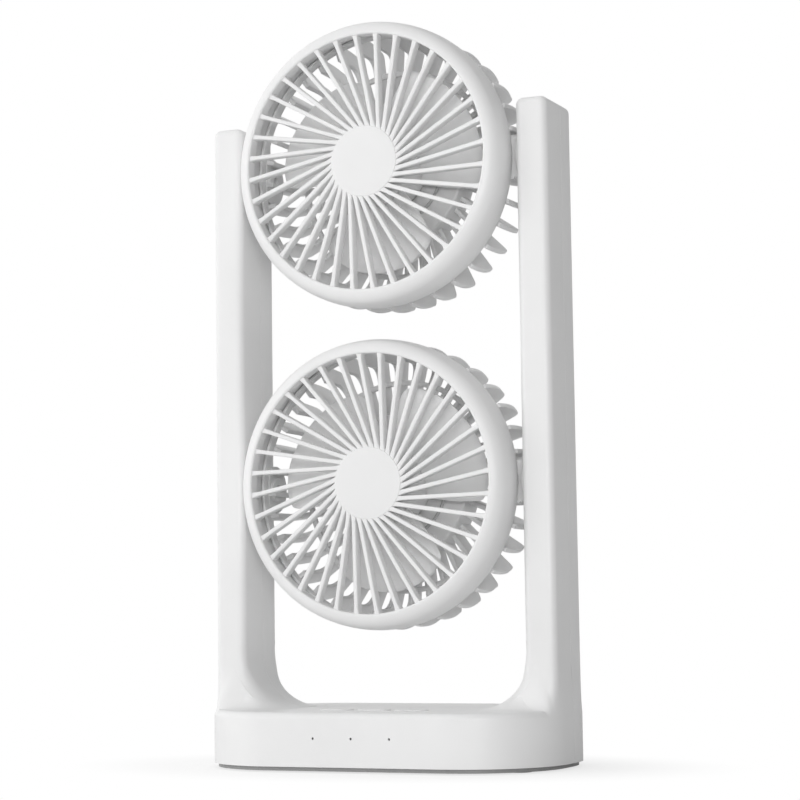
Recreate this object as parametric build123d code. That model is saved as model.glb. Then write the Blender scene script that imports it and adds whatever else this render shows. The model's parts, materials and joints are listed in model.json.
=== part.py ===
from build123d import *
from math import asin, cos, degrees, radians, sin, sqrt
import os

# A desk fan with two tilting round heads held between the posts of a U-shaped frame.
# Millimetres. +Z is up, the front is -Y, and the origin is under the middle of the base.

# Frame, outside sizes
base_width = 169.6
base_depth = 98.2
base_top = 26.2
base_corner_radius = 43.0
base_edge_radius = 3.0
frame_side_step = 0.8
foot_side_step = 0.5
post_width = 14.8
post_depth = 33.8
post_above_pivot = 24.35
post_edge_radius = 3.4
post_foot_radius = 8.0
post_top_radius = 3.2
inner_corner_radius = 25.0
foot_flare_radius = 8.0
outer_flare_height = 12.0
shell_wall = 2.0
seam_y = 2.4
seam_gap = 0.2
foot_overlap = 2.2

# Base cover, feet and cover screws
cover_inset = 1.9
cover_bottom = 0.6
cover_top = 2.4
cover_lip_height = 2.6
cover_lip_wall = 1.2
cover_lip_clearance = 0.25
rubber_foot_radius = 6.0
rubber_foot_height = 1.4
rubber_foot_from_side = 17.2
rubber_foot_from_front = 27.2
base_screw_from_side = 30.2
base_screw_from_front = 13.2
base_screw_length = 8.0

# Self-tapping screws, shared sizes
screw_radius = 1.25
screw_head_radius = 2.3
screw_head_height = 1.1
screw_boss_radius = 3.6
screw_clearance = 0.05
shell_screw_above_base = 33.8
shell_screw_above_pivot = 72.6
shell_screw_length = 17.0
shell_screw_seat_y = 9.0

# Buttons, their switches and the indicator pin-holes
button_pitch = 18.4
button_length = 15.6
button_depth = 8.0
button_before_post = 7.1
button_proud = 0.4
button_clearance = 0.25
button_flange = 0.9
button_flange_height = 1.0
button_travel = 0.4
button_stem_radius = 1.8
switch_size = 6.0
switch_height = 3.4
plunger_radius = 1.6
plunger_height = 2.75
plunger_proud = 1.35
plunger_clearance = 0.05
indicator_z = 14.9
indicator_hole_radius = 0.55
light_pipe_radius = 0.5
light_pipe_recess = 0.6
led_width = 2.0
led_depth = 1.2
led_height = 1.4

# Control board and its fixings
board_thickness = 1.6
board_width = 68.0
board_behind_wall = 3.8
board_to_cells = 2.0
board_screw_edge = 3.0
board_screw_front = 3.4
board_screw_back = 2.4
board_screw_back_x = 22.0
board_post_radius = 2.6
board_screw_length = 6.0
board_screw_radius = 1.0
board_screw_head_radius = 1.9
connector_size = 8.0
connector_height = 4.0

# Charging inlet at the rear
inlet_width = 8.94
inlet_height = 3.26
inlet_length = 7.3
inlet_wall = 0.35
inlet_clearance = 0.15
inlet_board_z = 6.0
inlet_board_width = 22.0
inlet_board_to_cells = 3.25
inlet_post_step = 6.75

# Battery
cell_radius = 9.2
cell_length = 65.0
cell_gap = 0.4
cell_middle_y = 5.6
cell_nub_radius = 2.8
cell_nub_height = 0.6
cradle_floor = 1.0
cradle_wall = 1.6
cradle_clearance = 0.2

# Heads: the local frame has +z towards the front, +x to the right and +y up
ring_side_gap = 4.5
head_above_base = 36.5
head_spacing = 16.95
ring_wall = 1.7
ring_front = 29.1
ring_back = 6.4
ring_bulge = 1.2
ring_widest_z = 15.0
ring_shoulder_proud = 0.2
ring_shoulder_z = 24.0
ring_tuck = 0.9
ring_band = 6.2
opening_edge_radius = 0.9
ring_inner_step = 2.2
ring_inner_top = 21.1
lip_depth = 6.2
rib_count = 36
rib_offset = 7.6
rib_width = 1.9
rib_front = 28.3
rib_depth = 4.5
rib_phase = 1.1
hub_disc_radius = 16.3
hub_disc_front = 28.6
hub_disc_thickness = 3.6
hub_disc_edge = 0.5

# Rear guard
hoop_clearance = 0.1
hoop_side_clearance = 0.35
hoop_wall = 1.4
hoop_plug = 4.5
hoop_root = 1.0
fin_count = 36
fin_offset = 6.0
fin_thickness = 2.2
fin_first_angle = 1.5
fin_proud = 1.1
fin_top_proud = 0.5
fin_tip_step = 1.3
fin_inner_step = 7.7
fin_rear = -22.5
fin_corner = 3.2
fin_rear_depth = 11.0
band_from_ring = 16.4
band_width = 2.4
band_back = -13.2
band_front = -10.7
drum_radius = 34.0
drum_wall = 2.0
drum_front = -6.0
drum_edge_radius = 1.2
rear_cap_clearance = 0.15
rear_cap_thickness = 2.0

# Pivots
pivot_boss_radius = 11.0
pivot_boss_inner_step = 4.2
pivot_boss_gap = 2.4
trunnion_radius = 4.5
trunnion_bore_radius = 2.2
trunnion_flange_radius = 5.6
trunnion_flange_thickness = 1.5
trunnion_past_face = 6.2
trunnion_fit = 0.02
bush_face_gap = 0.3
bush_flange_radius = 11.4
bush_sleeve_radius = 7.0
bush_sleeve_past_face = 3.6
bush_running_clearance = 0.05
bush_seat_clearance = 0.05
clip_radius = 7.2
clip_thickness = 1.0
clip_gap = 0.3

# Motor
shaft_radius = 1.5
shaft_back = -6.4
shaft_front = 19.0
bearing_radius = 4.0
bearing_width = 3.0
bearing_clearance = 0.03
bearing_back = -5.0
bearing_front = 9.4
tube_wall = 0.6
tube_flange_radius = 9.0
tube_flange_thickness = 1.0
tube_front = 12.6
stator_back = 0.0
stator_front = 8.0
stator_radius = 12.4
stator_hub_radius = 6.6
stator_poles = 6
tooth_width = 2.6
pole_shoe_thickness = 1.4
coil_thickness = 1.5
coil_gap = 0.05
air_gap = 0.4
magnet_thickness = 1.6
can_wall = 0.8
can_back = -2.0
can_front = 15.0
motor_board_radius = 15.0
motor_board_thickness = 1.0
motor_screw_circle = 6.8
motor_screw_radius = 0.8
motor_screw_head_radius = 1.5
motor_screw_head_height = 0.9
motor_screw_length = 3.6
fit_gap = 0.02

# Impeller
impeller_hub_radius = 17.4
impeller_hub_back = -3.0
impeller_hub_front = 20.0
impeller_hub_edge = 3.0
impeller_step = 15.9
impeller_phases = {"lower": 31.0, "upper": 27.0}
blade_count = 3
blade_back = -1.2
blade_front = 15.6
blade_root_sweep = 100.0
blade_tip_sweep = 82.0
blade_root_width = 3.4
blade_tip_width = 6.6
blade_corner_rounding = 5.0
blade_sections = 9

# Wires: hand-chosen points, joined by arcs
lead_radius = 0.7
lead_end_gap = 0.4
lead_lane_from_middle = 4.4
lead_lane_y = 6.0
head_lead_radius = 24.0
head_lead_z = -5.2
head_lead_start_angle = -72.0
head_lead_end_angle = -12.0

# Sizes that follow from the ones above
front_wall_y = -base_depth / 2
rear_wall_y = base_depth / 2
post_outer_x = base_width / 2 - frame_side_step
post_inner_x = post_outer_x - post_width
post_middle_x = (post_outer_x + post_inner_x) / 2
ring_radius = post_inner_x - ring_side_gap
opening_radius = ring_radius - ring_band
fin_radius = ring_radius + fin_proud
fin_tip_radius = ring_radius - fin_tip_step
fin_inner_radius = ring_radius - fin_inner_step
impeller_radius = ring_radius - impeller_step
lower_pivot_z = base_top + head_above_base + ring_radius
upper_pivot_z = lower_pivot_z + 2 * ring_radius + head_spacing
post_top = upper_pivot_z + post_above_pivot
pivot_boss_inner_x = ring_radius - pivot_boss_inner_step
pivot_boss_outer_x = post_inner_x - pivot_boss_gap
bush_sleeve_end_x = post_inner_x + bush_sleeve_past_face
trunnion_end_x = post_inner_x + trunnion_past_face
lead_lane_x = post_middle_x + lead_lane_from_middle
rubber_foot_x = base_width / 2 - rubber_foot_from_side
rubber_foot_y = base_depth / 2 - rubber_foot_from_front
base_screw_x = base_width / 2 - base_screw_from_side
base_screw_y = base_depth / 2 - base_screw_from_front
shell_screw_heights = (base_top + shell_screw_above_base, lower_pivot_z + shell_screw_above_pivot)
button_y = -post_depth / 2 - button_before_post
cells_front_y = cell_middle_y - cell_gap / 2 - 2 * cell_radius
cells_back_y = cell_middle_y + cell_gap / 2 + 2 * cell_radius
board_front_y = front_wall_y + board_behind_wall
board_back_y = cells_front_y - board_to_cells
board_screw_x = board_width / 2 - board_screw_edge
inlet_board_front_y = cells_back_y + inlet_board_to_cells
inlet_board_back_y = rear_wall_y - shell_wall - cover_lip_clearance - cover_lip_wall - 0.3
board_screw_places = (
    (-board_screw_x, board_front_y + board_screw_front), (board_screw_x, board_front_y + board_screw_front),
    (-board_screw_back_x, board_back_y - board_screw_back), (board_screw_back_x, board_back_y - board_screw_back))
board_top = indicator_z - led_height / 2
board_bottom = board_top - board_thickness
button_places = (-button_pitch, 0.0, button_pitch)
side_names = ("left", "middle", "right")
pivot_heights = {"lower": lower_pivot_z, "upper": upper_pivot_z}


def base_block(inset, bottom, top, edge_radius):
    """The base's oval plan, drawn in by inset, between two heights, with a rounded top edge."""
    plan = RectangleRounded(base_width - 2 * inset, base_depth - 2 * inset, base_corner_radius - inset)
    block = extrude(Pos(0, 0, bottom) * plan, amount=top - bottom)
    if edge_radius > 0:
        block = fillet(block.faces().sort_by(Axis.Z)[-1].edges(), edge_radius)
    return block


def flare_share(z):
    """0 above the post's foot, 1 at the base, with a soft start and end."""
    flare_bottom = base_top + foot_flare_radius
    share = (flare_bottom + outer_flare_height - z) / outer_flare_height
    share = min(max(share, 0.0), 1.0)
    return share * share * (3 - 2 * share)


def post_section(z, inset):
    """One level cut through the right post, drawn in by inset, with its concave foot."""
    corner_height = base_top + inner_corner_radius
    corner_centre_x = post_inner_x - inner_corner_radius
    drop = max(corner_height - z, 0.0)
    inner_x = corner_centre_x + sqrt((inner_corner_radius + inset) ** 2 - drop ** 2)
    flare_height = base_top + foot_flare_radius
    flare_drop = max(flare_height - z, 0.0)
    flare_reach = sqrt((foot_flare_radius + inset) ** 2 - flare_drop ** 2)
    half_depth = post_depth / 2 + foot_flare_radius - flare_reach
    widest_x = base_width / 2 - foot_side_step
    outer_x = post_outer_x + (widest_x - post_outer_x) * flare_share(z) - inset
    corner = post_edge_radius + (post_foot_radius - post_edge_radius) * flare_share(z)
    corner += half_depth - post_depth / 2
    plan = RectangleRounded(outer_x - inner_x, 2 * half_depth, corner)
    return Pos((outer_x + inner_x) / 2, 0, z) * plan


def post_block(inset):
    """The right post, drawn in by inset: a straight shaft on a foot that spreads into the base."""
    corner_height = base_top + inner_corner_radius
    floor = base_top - inset
    reach = corner_height - floor
    heights = [corner_height - reach * sin(radians(angle)) for angle in (0, 15, 30, 45, 58, 70, 79, 86)]
    sections = [post_section(corner_height + 6, inset), post_section(corner_height + 3, inset)]
    sections += [post_section(z, inset) for z in heights]
    foot = loft(sections)
    sole = extrude(post_section(heights[-1], inset), amount=-foot_overlap)
    shaft = extrude(post_section(corner_height + 6, inset), amount=post_top - inset - corner_height - 6)
    top_radius = post_top_radius - inset
    if top_radius > 0:
        shaft = fillet(shaft.faces().sort_by(Axis.Z)[-1].edges(), top_radius)
    return foot + sole + shaft


def mirrored(shape):
    """The same shape on the left side of the fan."""
    return mirror(shape, about=Plane.YZ)


def rod_x(radius, start_x, end_x, y, z):
    return Pos(start_x, y, z) * Rot(0, 90, 0) * Cylinder(
        radius, end_x - start_x, align=(Align.CENTER, Align.CENTER, Align.MIN))


def rod_y(radius, start_y, end_y, x, z):
    return Pos(x, start_y, z) * Rot(-90, 0, 0) * Cylinder(
        radius, end_y - start_y, align=(Align.CENTER, Align.CENTER, Align.MIN))


def rod_z(radius, start_z, end_z, x=0.0, y=0.0):
    return Pos(x, y, start_z) * Cylinder(
        radius, end_z - start_z, align=(Align.CENTER, Align.CENTER, Align.MIN))


def tube_z(outer_radius, inner_radius, start_z, end_z):
    return rod_z(outer_radius, start_z, end_z) - rod_z(inner_radius, start_z - 1, end_z + 1)


def block(low, high):
    """A box between two corners."""
    size = [high[i] - low[i] for i in range(3)]
    return Pos(*low) * Box(*size, align=(Align.MIN, Align.MIN, Align.MIN))


def join(first, others):
    """One fuse of many solids."""
    return first.fuse(*others) if others else first


def filled(outline):
    """The face inside a closed run of lines and arcs."""
    return make_face(Wire([edge for piece in outline for edge in piece.edges()]))


def as_group(solids):
    """Separate solids kept as one group."""
    return Compound(children=[s for shape in solids for s in shape.solids()])


def base_screw_places():
    return [(x, y) for x in (-base_screw_x, base_screw_x) for y in (-base_screw_y, base_screw_y)]


def shell_screw_places():
    return [(x, z) for x in (-post_middle_x, post_middle_x) for z in shell_screw_heights]


def inlet_z():
    return inlet_board_z + board_thickness + inlet_height / 2


def frame_shell():
    """Both halves of the housing before they are parted at the seam."""
    post = post_block(0.0)
    outside = base_block(0.0, cover_top, base_top, base_edge_radius) + post + mirrored(post)
    hollow = post_block(shell_wall)
    inside = base_block(shell_wall, cover_top - 1, base_top - shell_wall, 0) + hollow + mirrored(hollow)
    shell = outside - inside
    for x, y in base_screw_places():
        shell += rod_z(screw_boss_radius, cover_top, base_top - shell_wall / 2, x, y)
        shell -= rod_z(screw_radius + screw_clearance, cover_top - 1, cover_top + base_screw_length, x, y)
    front_y = -post_depth / 2 + shell_wall / 2
    back_y = post_depth / 2 - shell_wall / 2
    for x, z in shell_screw_places():
        shell += rod_y(screw_boss_radius, front_y, back_y, x, z)
        screw_tip_y = shell_screw_seat_y - shell_screw_length
        shell -= rod_y(screw_radius + screw_clearance, screw_tip_y - 0.5, post_depth, x, z)
        shell -= rod_y(screw_head_radius + 0.2, shell_screw_seat_y, post_depth, x, z)
    for z in pivot_heights.values():
        hole_radius = bush_sleeve_radius + bush_seat_clearance
        hole_end = post_inner_x + shell_wall + 1
        shell -= rod_x(hole_radius, post_inner_x - 1, hole_end, 0, z)
        shell -= rod_x(hole_radius, -hole_end, -post_inner_x + 1, 0, z)
    for x in button_places:
        window = SlotOverall(button_length + 2 * button_clearance, button_depth + 2 * button_clearance)
        shell -= extrude(Pos(x, button_y, base_top - shell_wall - 1) * window, amount=shell_wall + 2)
        shell -= rod_y(indicator_hole_radius, front_wall_y - 1, front_wall_y + shell_wall + 1, x, indicator_z)
    socket_face = Plane((0, rear_wall_y - shell_wall - 1, inlet_z()), x_dir=(1, 0, 0), z_dir=(0, 1, 0))
    socket_window = RectangleRounded(
        inlet_width + 2 * inlet_clearance, inlet_height + 2 * inlet_clearance, inlet_height / 2)
    shell -= extrude(socket_face * socket_window, amount=shell_wall + 2)
    return shell


def half_space(front):
    """A block that covers everything in front of the seam, or behind it."""
    far = base_depth
    wide = base_width
    if front:
        return block((-wide, -far, -10), (wide, seam_y - seam_gap / 2, post_top + 10))
    return block((-wide, seam_y + seam_gap / 2, -10), (wide, far, post_top + 10))


def base_cover():
    """The plate under the base, with its locating lip, screw holes and board posts."""
    plate = base_block(cover_inset, cover_bottom, cover_top, 0)
    lip_outer = shell_wall + cover_lip_clearance
    lip = base_block(lip_outer, cover_top, cover_top + cover_lip_height, 0)
    lip -= base_block(lip_outer + cover_lip_wall, cover_top - 1, cover_top + cover_lip_height + 1, 0)
    cover = plate + lip
    for x, y in board_screw_places:
        cover += rod_z(board_post_radius, cover_top, board_bottom, x, y)
        hole = board_screw_radius + screw_clearance
        cover -= rod_z(hole, board_top - board_screw_length - 0.5, board_top, x, y)
    for x in (-rubber_foot_x, rubber_foot_x):
        for y in (-rubber_foot_y, rubber_foot_y):
            cover -= rod_z(rubber_foot_radius + 0.1, 0, rubber_foot_height, x, y)
    for x, y in base_screw_places():
        cover -= rod_z(screw_radius + 0.2, 0, cover_top + 1, x, y)
        cover -= rod_z(screw_head_radius + 0.3, 0, cover_bottom + screw_head_height + 0.1, x, y)
    inlet_half = inlet_board_width / 2 - 3
    for x in (-inlet_half, inlet_half):
        cover += rod_z(board_post_radius, cover_top, inlet_board_z, x, inlet_board_front_y + inlet_post_step)
    return cover


def rubber_feet():
    return as_group([rod_z(rubber_foot_radius, 0, rubber_foot_height, x, y)
                     for x in (-rubber_foot_x, rubber_foot_x) for y in (-rubber_foot_y, rubber_foot_y)])


def cross_slot(radius):
    """The crossed recess in a screw's head, cut into a plane z = 0 from above."""
    arm = radius * 1.1
    blade = radius * 0.26
    depth = 0.6
    first = Pos(0, 0, -depth / 2) * Box(arm, blade, depth)
    second = Pos(0, 0, -depth / 2) * Box(blade, arm, depth)
    return first + second


def screw(radius, head_radius, head_height, length):
    """A screw that points down, with the underside of its head at z = 0."""
    shank = rod_z(radius, -length, 0)
    head = rod_z(head_radius, 0, head_height)
    return shank + head - Pos(0, 0, head_height) * cross_slot(head_radius)


def base_screws():
    seat = cover_bottom + screw_head_height + 0.1
    one = Rot(180, 0, 0) * screw(screw_radius, screw_head_radius, screw_head_height, base_screw_length)
    return as_group([Pos(x, y, seat) * one for x, y in base_screw_places()])


def shell_screws():
    one = Rot(-90, 0, 0) * screw(screw_radius, screw_head_radius, screw_head_height, shell_screw_length)
    return as_group([Pos(x, shell_screw_seat_y, z) * one for x, z in shell_screw_places()])


def board_screws():
    one = screw(board_screw_radius, board_screw_head_radius, screw_head_height, board_screw_length)
    return as_group([Pos(x, y, board_top) * one for x, y in board_screw_places])


def main_board():
    """The control board, with the two sockets for the fans' wires."""
    half = board_width / 2
    board = block((-half, board_front_y, board_bottom), (half, board_back_y, board_top))
    for x, y in board_screw_places:
        board -= rod_z(board_screw_radius + 0.2, board_bottom - 1, board_top + 1, x, y)
    low = (half - connector_size, board_back_y - 12, board_top)
    high = (half, board_back_y - 2, board_top + connector_height)
    return board + block(low, high)


def tact_switches():
    switches = []
    half = switch_size / 2
    for x in button_places:
        body = block((x - half, button_y - half, board_top), (x + half, button_y + half, board_top + switch_height))
        well = plunger_radius + plunger_clearance
        body -= rod_z(well, board_top + 1.2, board_top + switch_height + 1, x, button_y)
        switches.append(body)
    return as_group(switches)


def plunger(x):
    """The part of the switch that the button's stem pushes down."""
    top = board_top + switch_height + plunger_proud
    return rod_z(plunger_radius, top - plunger_height, top, x, button_y)


def button(x):
    """A push button: an oblong cap, a flange that keeps it in, and a stem down to the switch."""
    top = base_top + button_proud
    flange_top = base_top - shell_wall - button_travel / 2
    cap = extrude(Pos(x, button_y, flange_top) * SlotOverall(button_length, button_depth), amount=top - flange_top)
    cap = fillet(cap.faces().sort_by(Axis.Z)[-1].edges(), 0.35)
    flange_plan = SlotOverall(button_length + 2 * button_flange, button_depth + 2 * button_flange)
    flange = extrude(Pos(x, button_y, flange_top - button_flange_height) * flange_plan, amount=button_flange_height)
    stem_bottom = board_top + switch_height + plunger_proud
    return cap + flange + rod_z(button_stem_radius, stem_bottom, flange_top, x, button_y)


def status_leds():
    leds = []
    for x in button_places:
        low = (x - led_width / 2, board_front_y, board_top)
        high = (x + led_width / 2, board_front_y + led_depth, board_top + led_height)
        leds.append(block(low, high))
    return as_group(leds)


def light_pipes():
    """Clear pins that carry each lamp's light to its pin-hole."""
    pins = []
    flange_y = front_wall_y + shell_wall
    for x in button_places:
        pin = rod_y(light_pipe_radius, front_wall_y + light_pipe_recess, board_front_y - 0.1, x, indicator_z)
        flange = rod_y(light_pipe_radius + 0.7, flange_y + 0.05, flange_y + 1.0, x, indicator_z)
        pins.append(pin + flange)
    return as_group(pins)


def inlet_board():
    half = inlet_board_width / 2
    low = (-half, inlet_board_front_y, inlet_board_z)
    return block(low, (half, inlet_board_back_y, inlet_board_z + board_thickness))


def inlet_socket():
    """The charging socket: an oval metal shell with a tongue, facing the rear."""
    face = Plane((0, rear_wall_y - 0.4, inlet_z()), x_dir=(1, 0, 0), z_dir=(0, 1, 0))
    outer = extrude(face * RectangleRounded(inlet_width, inlet_height, inlet_height / 2 - 0.01),
                    amount=-inlet_length)
    cavity = RectangleRounded(inlet_width - 2 * inlet_wall, inlet_height - 2 * inlet_wall,
                              inlet_height / 2 - inlet_wall - 0.01)
    hollow = extrude(face * cavity, amount=-(inlet_length - 1))
    tongue = extrude(face * Rectangle(inlet_width * 0.72, 0.7), amount=-(inlet_length - 0.5))
    tongue &= block((-20, 0, 0), (20, rear_wall_y - 1.0, base_top))
    return outer - hollow + tongue


def cell_rows():
    step = cell_radius + cell_gap / 2
    return (cell_middle_y - step, cell_middle_y + step)


def cell_z():
    return cover_top + cradle_floor + cradle_clearance + cell_radius


def battery_cells():
    cells = []
    for y, sign in zip(cell_rows(), (1, -1)):
        cell = rod_x(cell_radius, -cell_length / 2, cell_length / 2, y, cell_z())
        end = sign * cell_length / 2
        start_x = min(end, end + sign * cell_nub_height)
        nub = rod_x(cell_nub_radius, start_x, start_x + cell_nub_height, y, cell_z())
        cells.append(cell + nub)
    return as_group(cells)


def battery_cradle():
    """A tray with end walls that hold the two cells."""
    low_y, high_y = cell_rows()[0] - cell_radius, cell_rows()[1] + cell_radius
    half = cell_length / 2 + cell_nub_height + cradle_clearance
    outer = block((-half - cradle_wall, low_y, cover_top), (half + cradle_wall, high_y, cell_z()))
    inner = block((-half, low_y - 1, cover_top + cradle_floor), (half, high_y + 1, cell_z() + 1))
    ridge_top = cell_z() - cell_radius * 0.55
    ridge = block((-half, cell_middle_y - 0.5, cover_top), (half, cell_middle_y + 0.5, ridge_top))
    tray = outer - inner + ridge
    for y in cell_rows():
        tray -= rod_x(cell_radius + cradle_clearance, -half, half, y, cell_z())
    return tray


def pivot_bush(side, pivot_z):
    """A flanged sleeve in the post's inner wall; the trunnion turns in it."""
    face_x = pivot_boss_outer_x + bush_face_gap
    flange = rod_x(bush_flange_radius, face_x, post_inner_x, 0, pivot_z)
    flange = fillet(flange.edges().filter_by(GeomType.CIRCLE).sort_by(Axis.X)[0], 0.6)
    sleeve = rod_x(bush_sleeve_radius, post_inner_x, bush_sleeve_end_x, 0, pivot_z)
    bore = rod_x(trunnion_radius + bush_running_clearance, face_x - 1, bush_sleeve_end_x + 1, 0, pivot_z)
    bush = flange + sleeve - bore
    return bush if side == "right" else mirrored(bush)


def placed(shape, pivot_z):
    """A head piece moved from its local frame to its pivot's height, facing the front."""
    return Pos(0, 0, pivot_z) * Rot(90, 0, 0) * shape


def arc_radius(drop, reach):
    """The radius of an arc that starts upright and moves in by drop over a height of reach."""
    return (drop ** 2 + reach ** 2) / (2 * drop)


def wall_arc(end_x, end_z):
    """The ring's outer wall from its widest place to a point above or below it."""
    widest = ring_radius + ring_bulge
    radius = arc_radius(widest - end_x, end_z - ring_widest_z)
    middle_z = (ring_widest_z + end_z) / 2
    middle_x = widest - radius + sqrt(radius ** 2 - (middle_z - ring_widest_z) ** 2)
    return ThreePointArc((widest, 0, ring_widest_z), (middle_x, 0, middle_z), (end_x, 0, end_z))


def lip_arc(shoulder, lip_end):
    """The round front lip, which carries on smoothly from the wall at the shoulder."""
    rise = ring_shoulder_z - ring_widest_z
    slope = asin(rise / arc_radius(ring_bulge - ring_shoulder_proud, rise))
    run_x, run_z = shoulder - lip_end, ring_front - ring_shoulder_z
    radius = (run_x ** 2 + run_z ** 2) / (2 * (run_x * cos(slope) - run_z * sin(slope)))
    centre_x, centre_z = shoulder - radius * cos(slope), ring_shoulder_z - radius * sin(slope)
    end_slope = asin((ring_front - centre_z) / radius)
    half_way = (slope + end_slope) / 2
    middle = (centre_x + radius * cos(half_way), 0, centre_z + radius * sin(half_way))
    return ThreePointArc((shoulder, 0, ring_shoulder_z), middle, (lip_end, 0, ring_front))


def ring_body():
    """The head's outer ring: a barrel-shaped wall and a round lip that turns in to the opening."""
    rear_edge = ring_radius - ring_tuck
    shoulder = ring_radius + ring_shoulder_proud
    lip_end = opening_radius + opening_edge_radius
    edge_bend = opening_edge_radius * (1 - cos(radians(45)))
    outline = [
        wall_arc(rear_edge, ring_back),
        wall_arc(shoulder, ring_shoulder_z),
        lip_arc(shoulder, lip_end),
        ThreePointArc((lip_end, 0, ring_front), (opening_radius + edge_bend, 0, ring_front - edge_bend),
                      (opening_radius, 0, ring_front - opening_edge_radius)),
        Polyline((opening_radius, 0, ring_front - opening_edge_radius),
                 (opening_radius, 0, ring_front - lip_depth),
                 (opening_radius + 1.2, 0, ring_front - lip_depth - 0.3),
                 (ring_radius - ring_inner_step, 0, ring_inner_top),
                 (ring_radius - ring_wall, 0, ring_back),
                 (rear_edge, 0, ring_back)),
    ]
    return revolve(filled(outline), Axis.Z)


def front_guard():
    """Ring, swirled straight ribs and the plain disc in the middle, moulded in one."""
    inner_x = sqrt(hub_disc_radius ** 2 - rib_offset ** 2) - 1.5
    outer_x = sqrt((opening_radius + 0.8) ** 2 - rib_offset ** 2)
    rib = block((inner_x, -rib_offset - rib_width / 2, rib_front - rib_depth),
                (outer_x, -rib_offset + rib_width / 2, rib_front))
    step = 360 / rib_count
    ribs = [Rot(0, 0, rib_phase + step * i) * rib for i in range(rib_count)]
    disc = rod_z(hub_disc_radius, hub_disc_front - hub_disc_thickness, hub_disc_front)
    disc = fillet(disc.edges().filter_by(GeomType.CIRCLE).sort_by(Axis.Z)[-1], hub_disc_edge)
    return join(ring_body(), ribs + [disc])


def along_fin(radius):
    """How far along a fin's plane a given distance from the fan's axis lies."""
    return sqrt(radius ** 2 - fin_offset ** 2)


def fin_plate():
    """One L-shaped fin: a leg behind the ring and a leg across the back to the motor drum."""
    top = ring_back - hoop_clearance
    outer_top = along_fin(ring_radius + fin_top_proud)
    outer_mid = along_fin(fin_radius)
    outer_low = along_fin(fin_tip_radius)
    corner_low = outer_low - fin_corner
    inner_x = along_fin(drum_radius - drum_wall / 2)
    inner_leg = along_fin(fin_inner_radius)
    low_z = fin_rear + fin_corner
    mid_z = (top + low_z) / 2
    bend = fin_corner * (1 - cos(radians(45)))
    rear_leg_top = fin_rear + fin_rear_depth
    outline = [
        ThreePointArc((outer_top, 0, top), (outer_mid, 0, mid_z), (outer_low, 0, low_z)),
        ThreePointArc((outer_low, 0, low_z), (outer_low - bend, 0, fin_rear + bend), (corner_low, 0, fin_rear)),
        Polyline((corner_low, 0, fin_rear), (inner_x, 0, fin_rear), (inner_x, 0, rear_leg_top),
                 (inner_leg - 4, 0, rear_leg_top), (inner_leg, 0, rear_leg_top + 4), (inner_leg + 0.5, 0, top),
                 (outer_top, 0, top)),
    ]
    plate = extrude(filled(outline), amount=fin_thickness / 2, both=True)
    return Pos(0, fin_offset, 0) * plate


def rear_guard():
    """Hoop, fins, the ring half way in, motor drum and the two pivot bosses, moulded in one."""
    hoop_outer = ring_radius - ring_wall - hoop_side_clearance
    hoop_inner = hoop_outer - hoop_wall
    seat = ring_back - hoop_clearance
    hoop = tube_z(hoop_outer, hoop_inner, seat - hoop_root, seat + hoop_plug)
    band_middle = ring_radius - band_from_ring
    band = tube_z(band_middle + band_width / 2, band_middle - band_width / 2, band_back, band_front)
    lean = degrees(asin(fin_offset / fin_radius))
    step = 360 / fin_count
    fins = [Rot(0, 0, fin_first_angle - lean + step * i) * fin_plate() for i in range(fin_count)]
    drum = rod_z(drum_radius, fin_rear, drum_front)
    drum = fillet(drum.edges().filter_by(GeomType.CIRCLE).sort_by(Axis.Z)[-1], drum_edge_radius)
    boss = rod_x(pivot_boss_radius, pivot_boss_inner_x, pivot_boss_outer_x, 0, 0)
    boss &= block((0, -20, -20), (80, 20, seat))
    body = join(hoop, [band, drum, boss, mirrored(boss)] + fins)
    body -= rod_z(drum_radius - drum_wall, fin_rear - 1, drum_front - drum_wall)
    tube_outer = bearing_radius + fit_gap + tube_wall
    body -= rod_z(tube_outer + fit_gap, drum_front - drum_wall - 1, drum_front + 1)
    for angle in motor_screw_angles():
        x, y = polar(motor_screw_circle, angle)
        body -= rod_z(motor_screw_radius + screw_clearance, drum_front - drum_wall - 1, drum_front + 1, x, y)
    bore = rod_x(trunnion_radius + trunnion_fit, pivot_boss_inner_x - 1, pivot_boss_outer_x + 1, 0, 0)
    bore += rod_x(trunnion_flange_radius + 0.3, fin_inner_radius - 2, pivot_boss_inner_x, 0, 0)
    body = body - bore - mirrored(bore)
    x, y = polar(head_lead_radius - 2.5, head_lead_start_angle)
    body -= rod_z(lead_radius + 0.4, drum_front - drum_wall - 1, drum_front + 1, x, y)
    return body


def polar(radius, angle):
    return radius * cos(radians(angle)), radius * sin(radians(angle))


def motor_screw_angles():
    return (90.0, 210.0, 330.0)


def rear_cap():
    """The plain round cap that closes the motor drum at the back."""
    radius = drum_radius - drum_wall - rear_cap_clearance
    cap = rod_z(radius, fin_rear, fin_rear + rear_cap_thickness)
    cap = fillet(cap.edges().filter_by(GeomType.CIRCLE).sort_by(Axis.Z)[0], 0.6)
    rim = tube_z(radius, radius - 1.4, fin_rear + rear_cap_thickness, fin_rear + rear_cap_thickness + 2.4)
    return cap + rim


def trunnions():
    """Two hollow pivot tubes, one each side, flanged on the inside."""
    start = pivot_boss_inner_x - trunnion_flange_thickness
    tube = rod_x(trunnion_radius, start, trunnion_end_x, 0, 0)
    flange = rod_x(trunnion_flange_radius, start, pivot_boss_inner_x, 0, 0)
    flange = fillet(flange.edges().filter_by(GeomType.CIRCLE).sort_by(Axis.X)[0], 0.5)
    bore = rod_x(trunnion_bore_radius, start - 1, trunnion_end_x + 1, 0, 0)
    right = tube + flange - bore
    return as_group([right, mirrored(right)])


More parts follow.
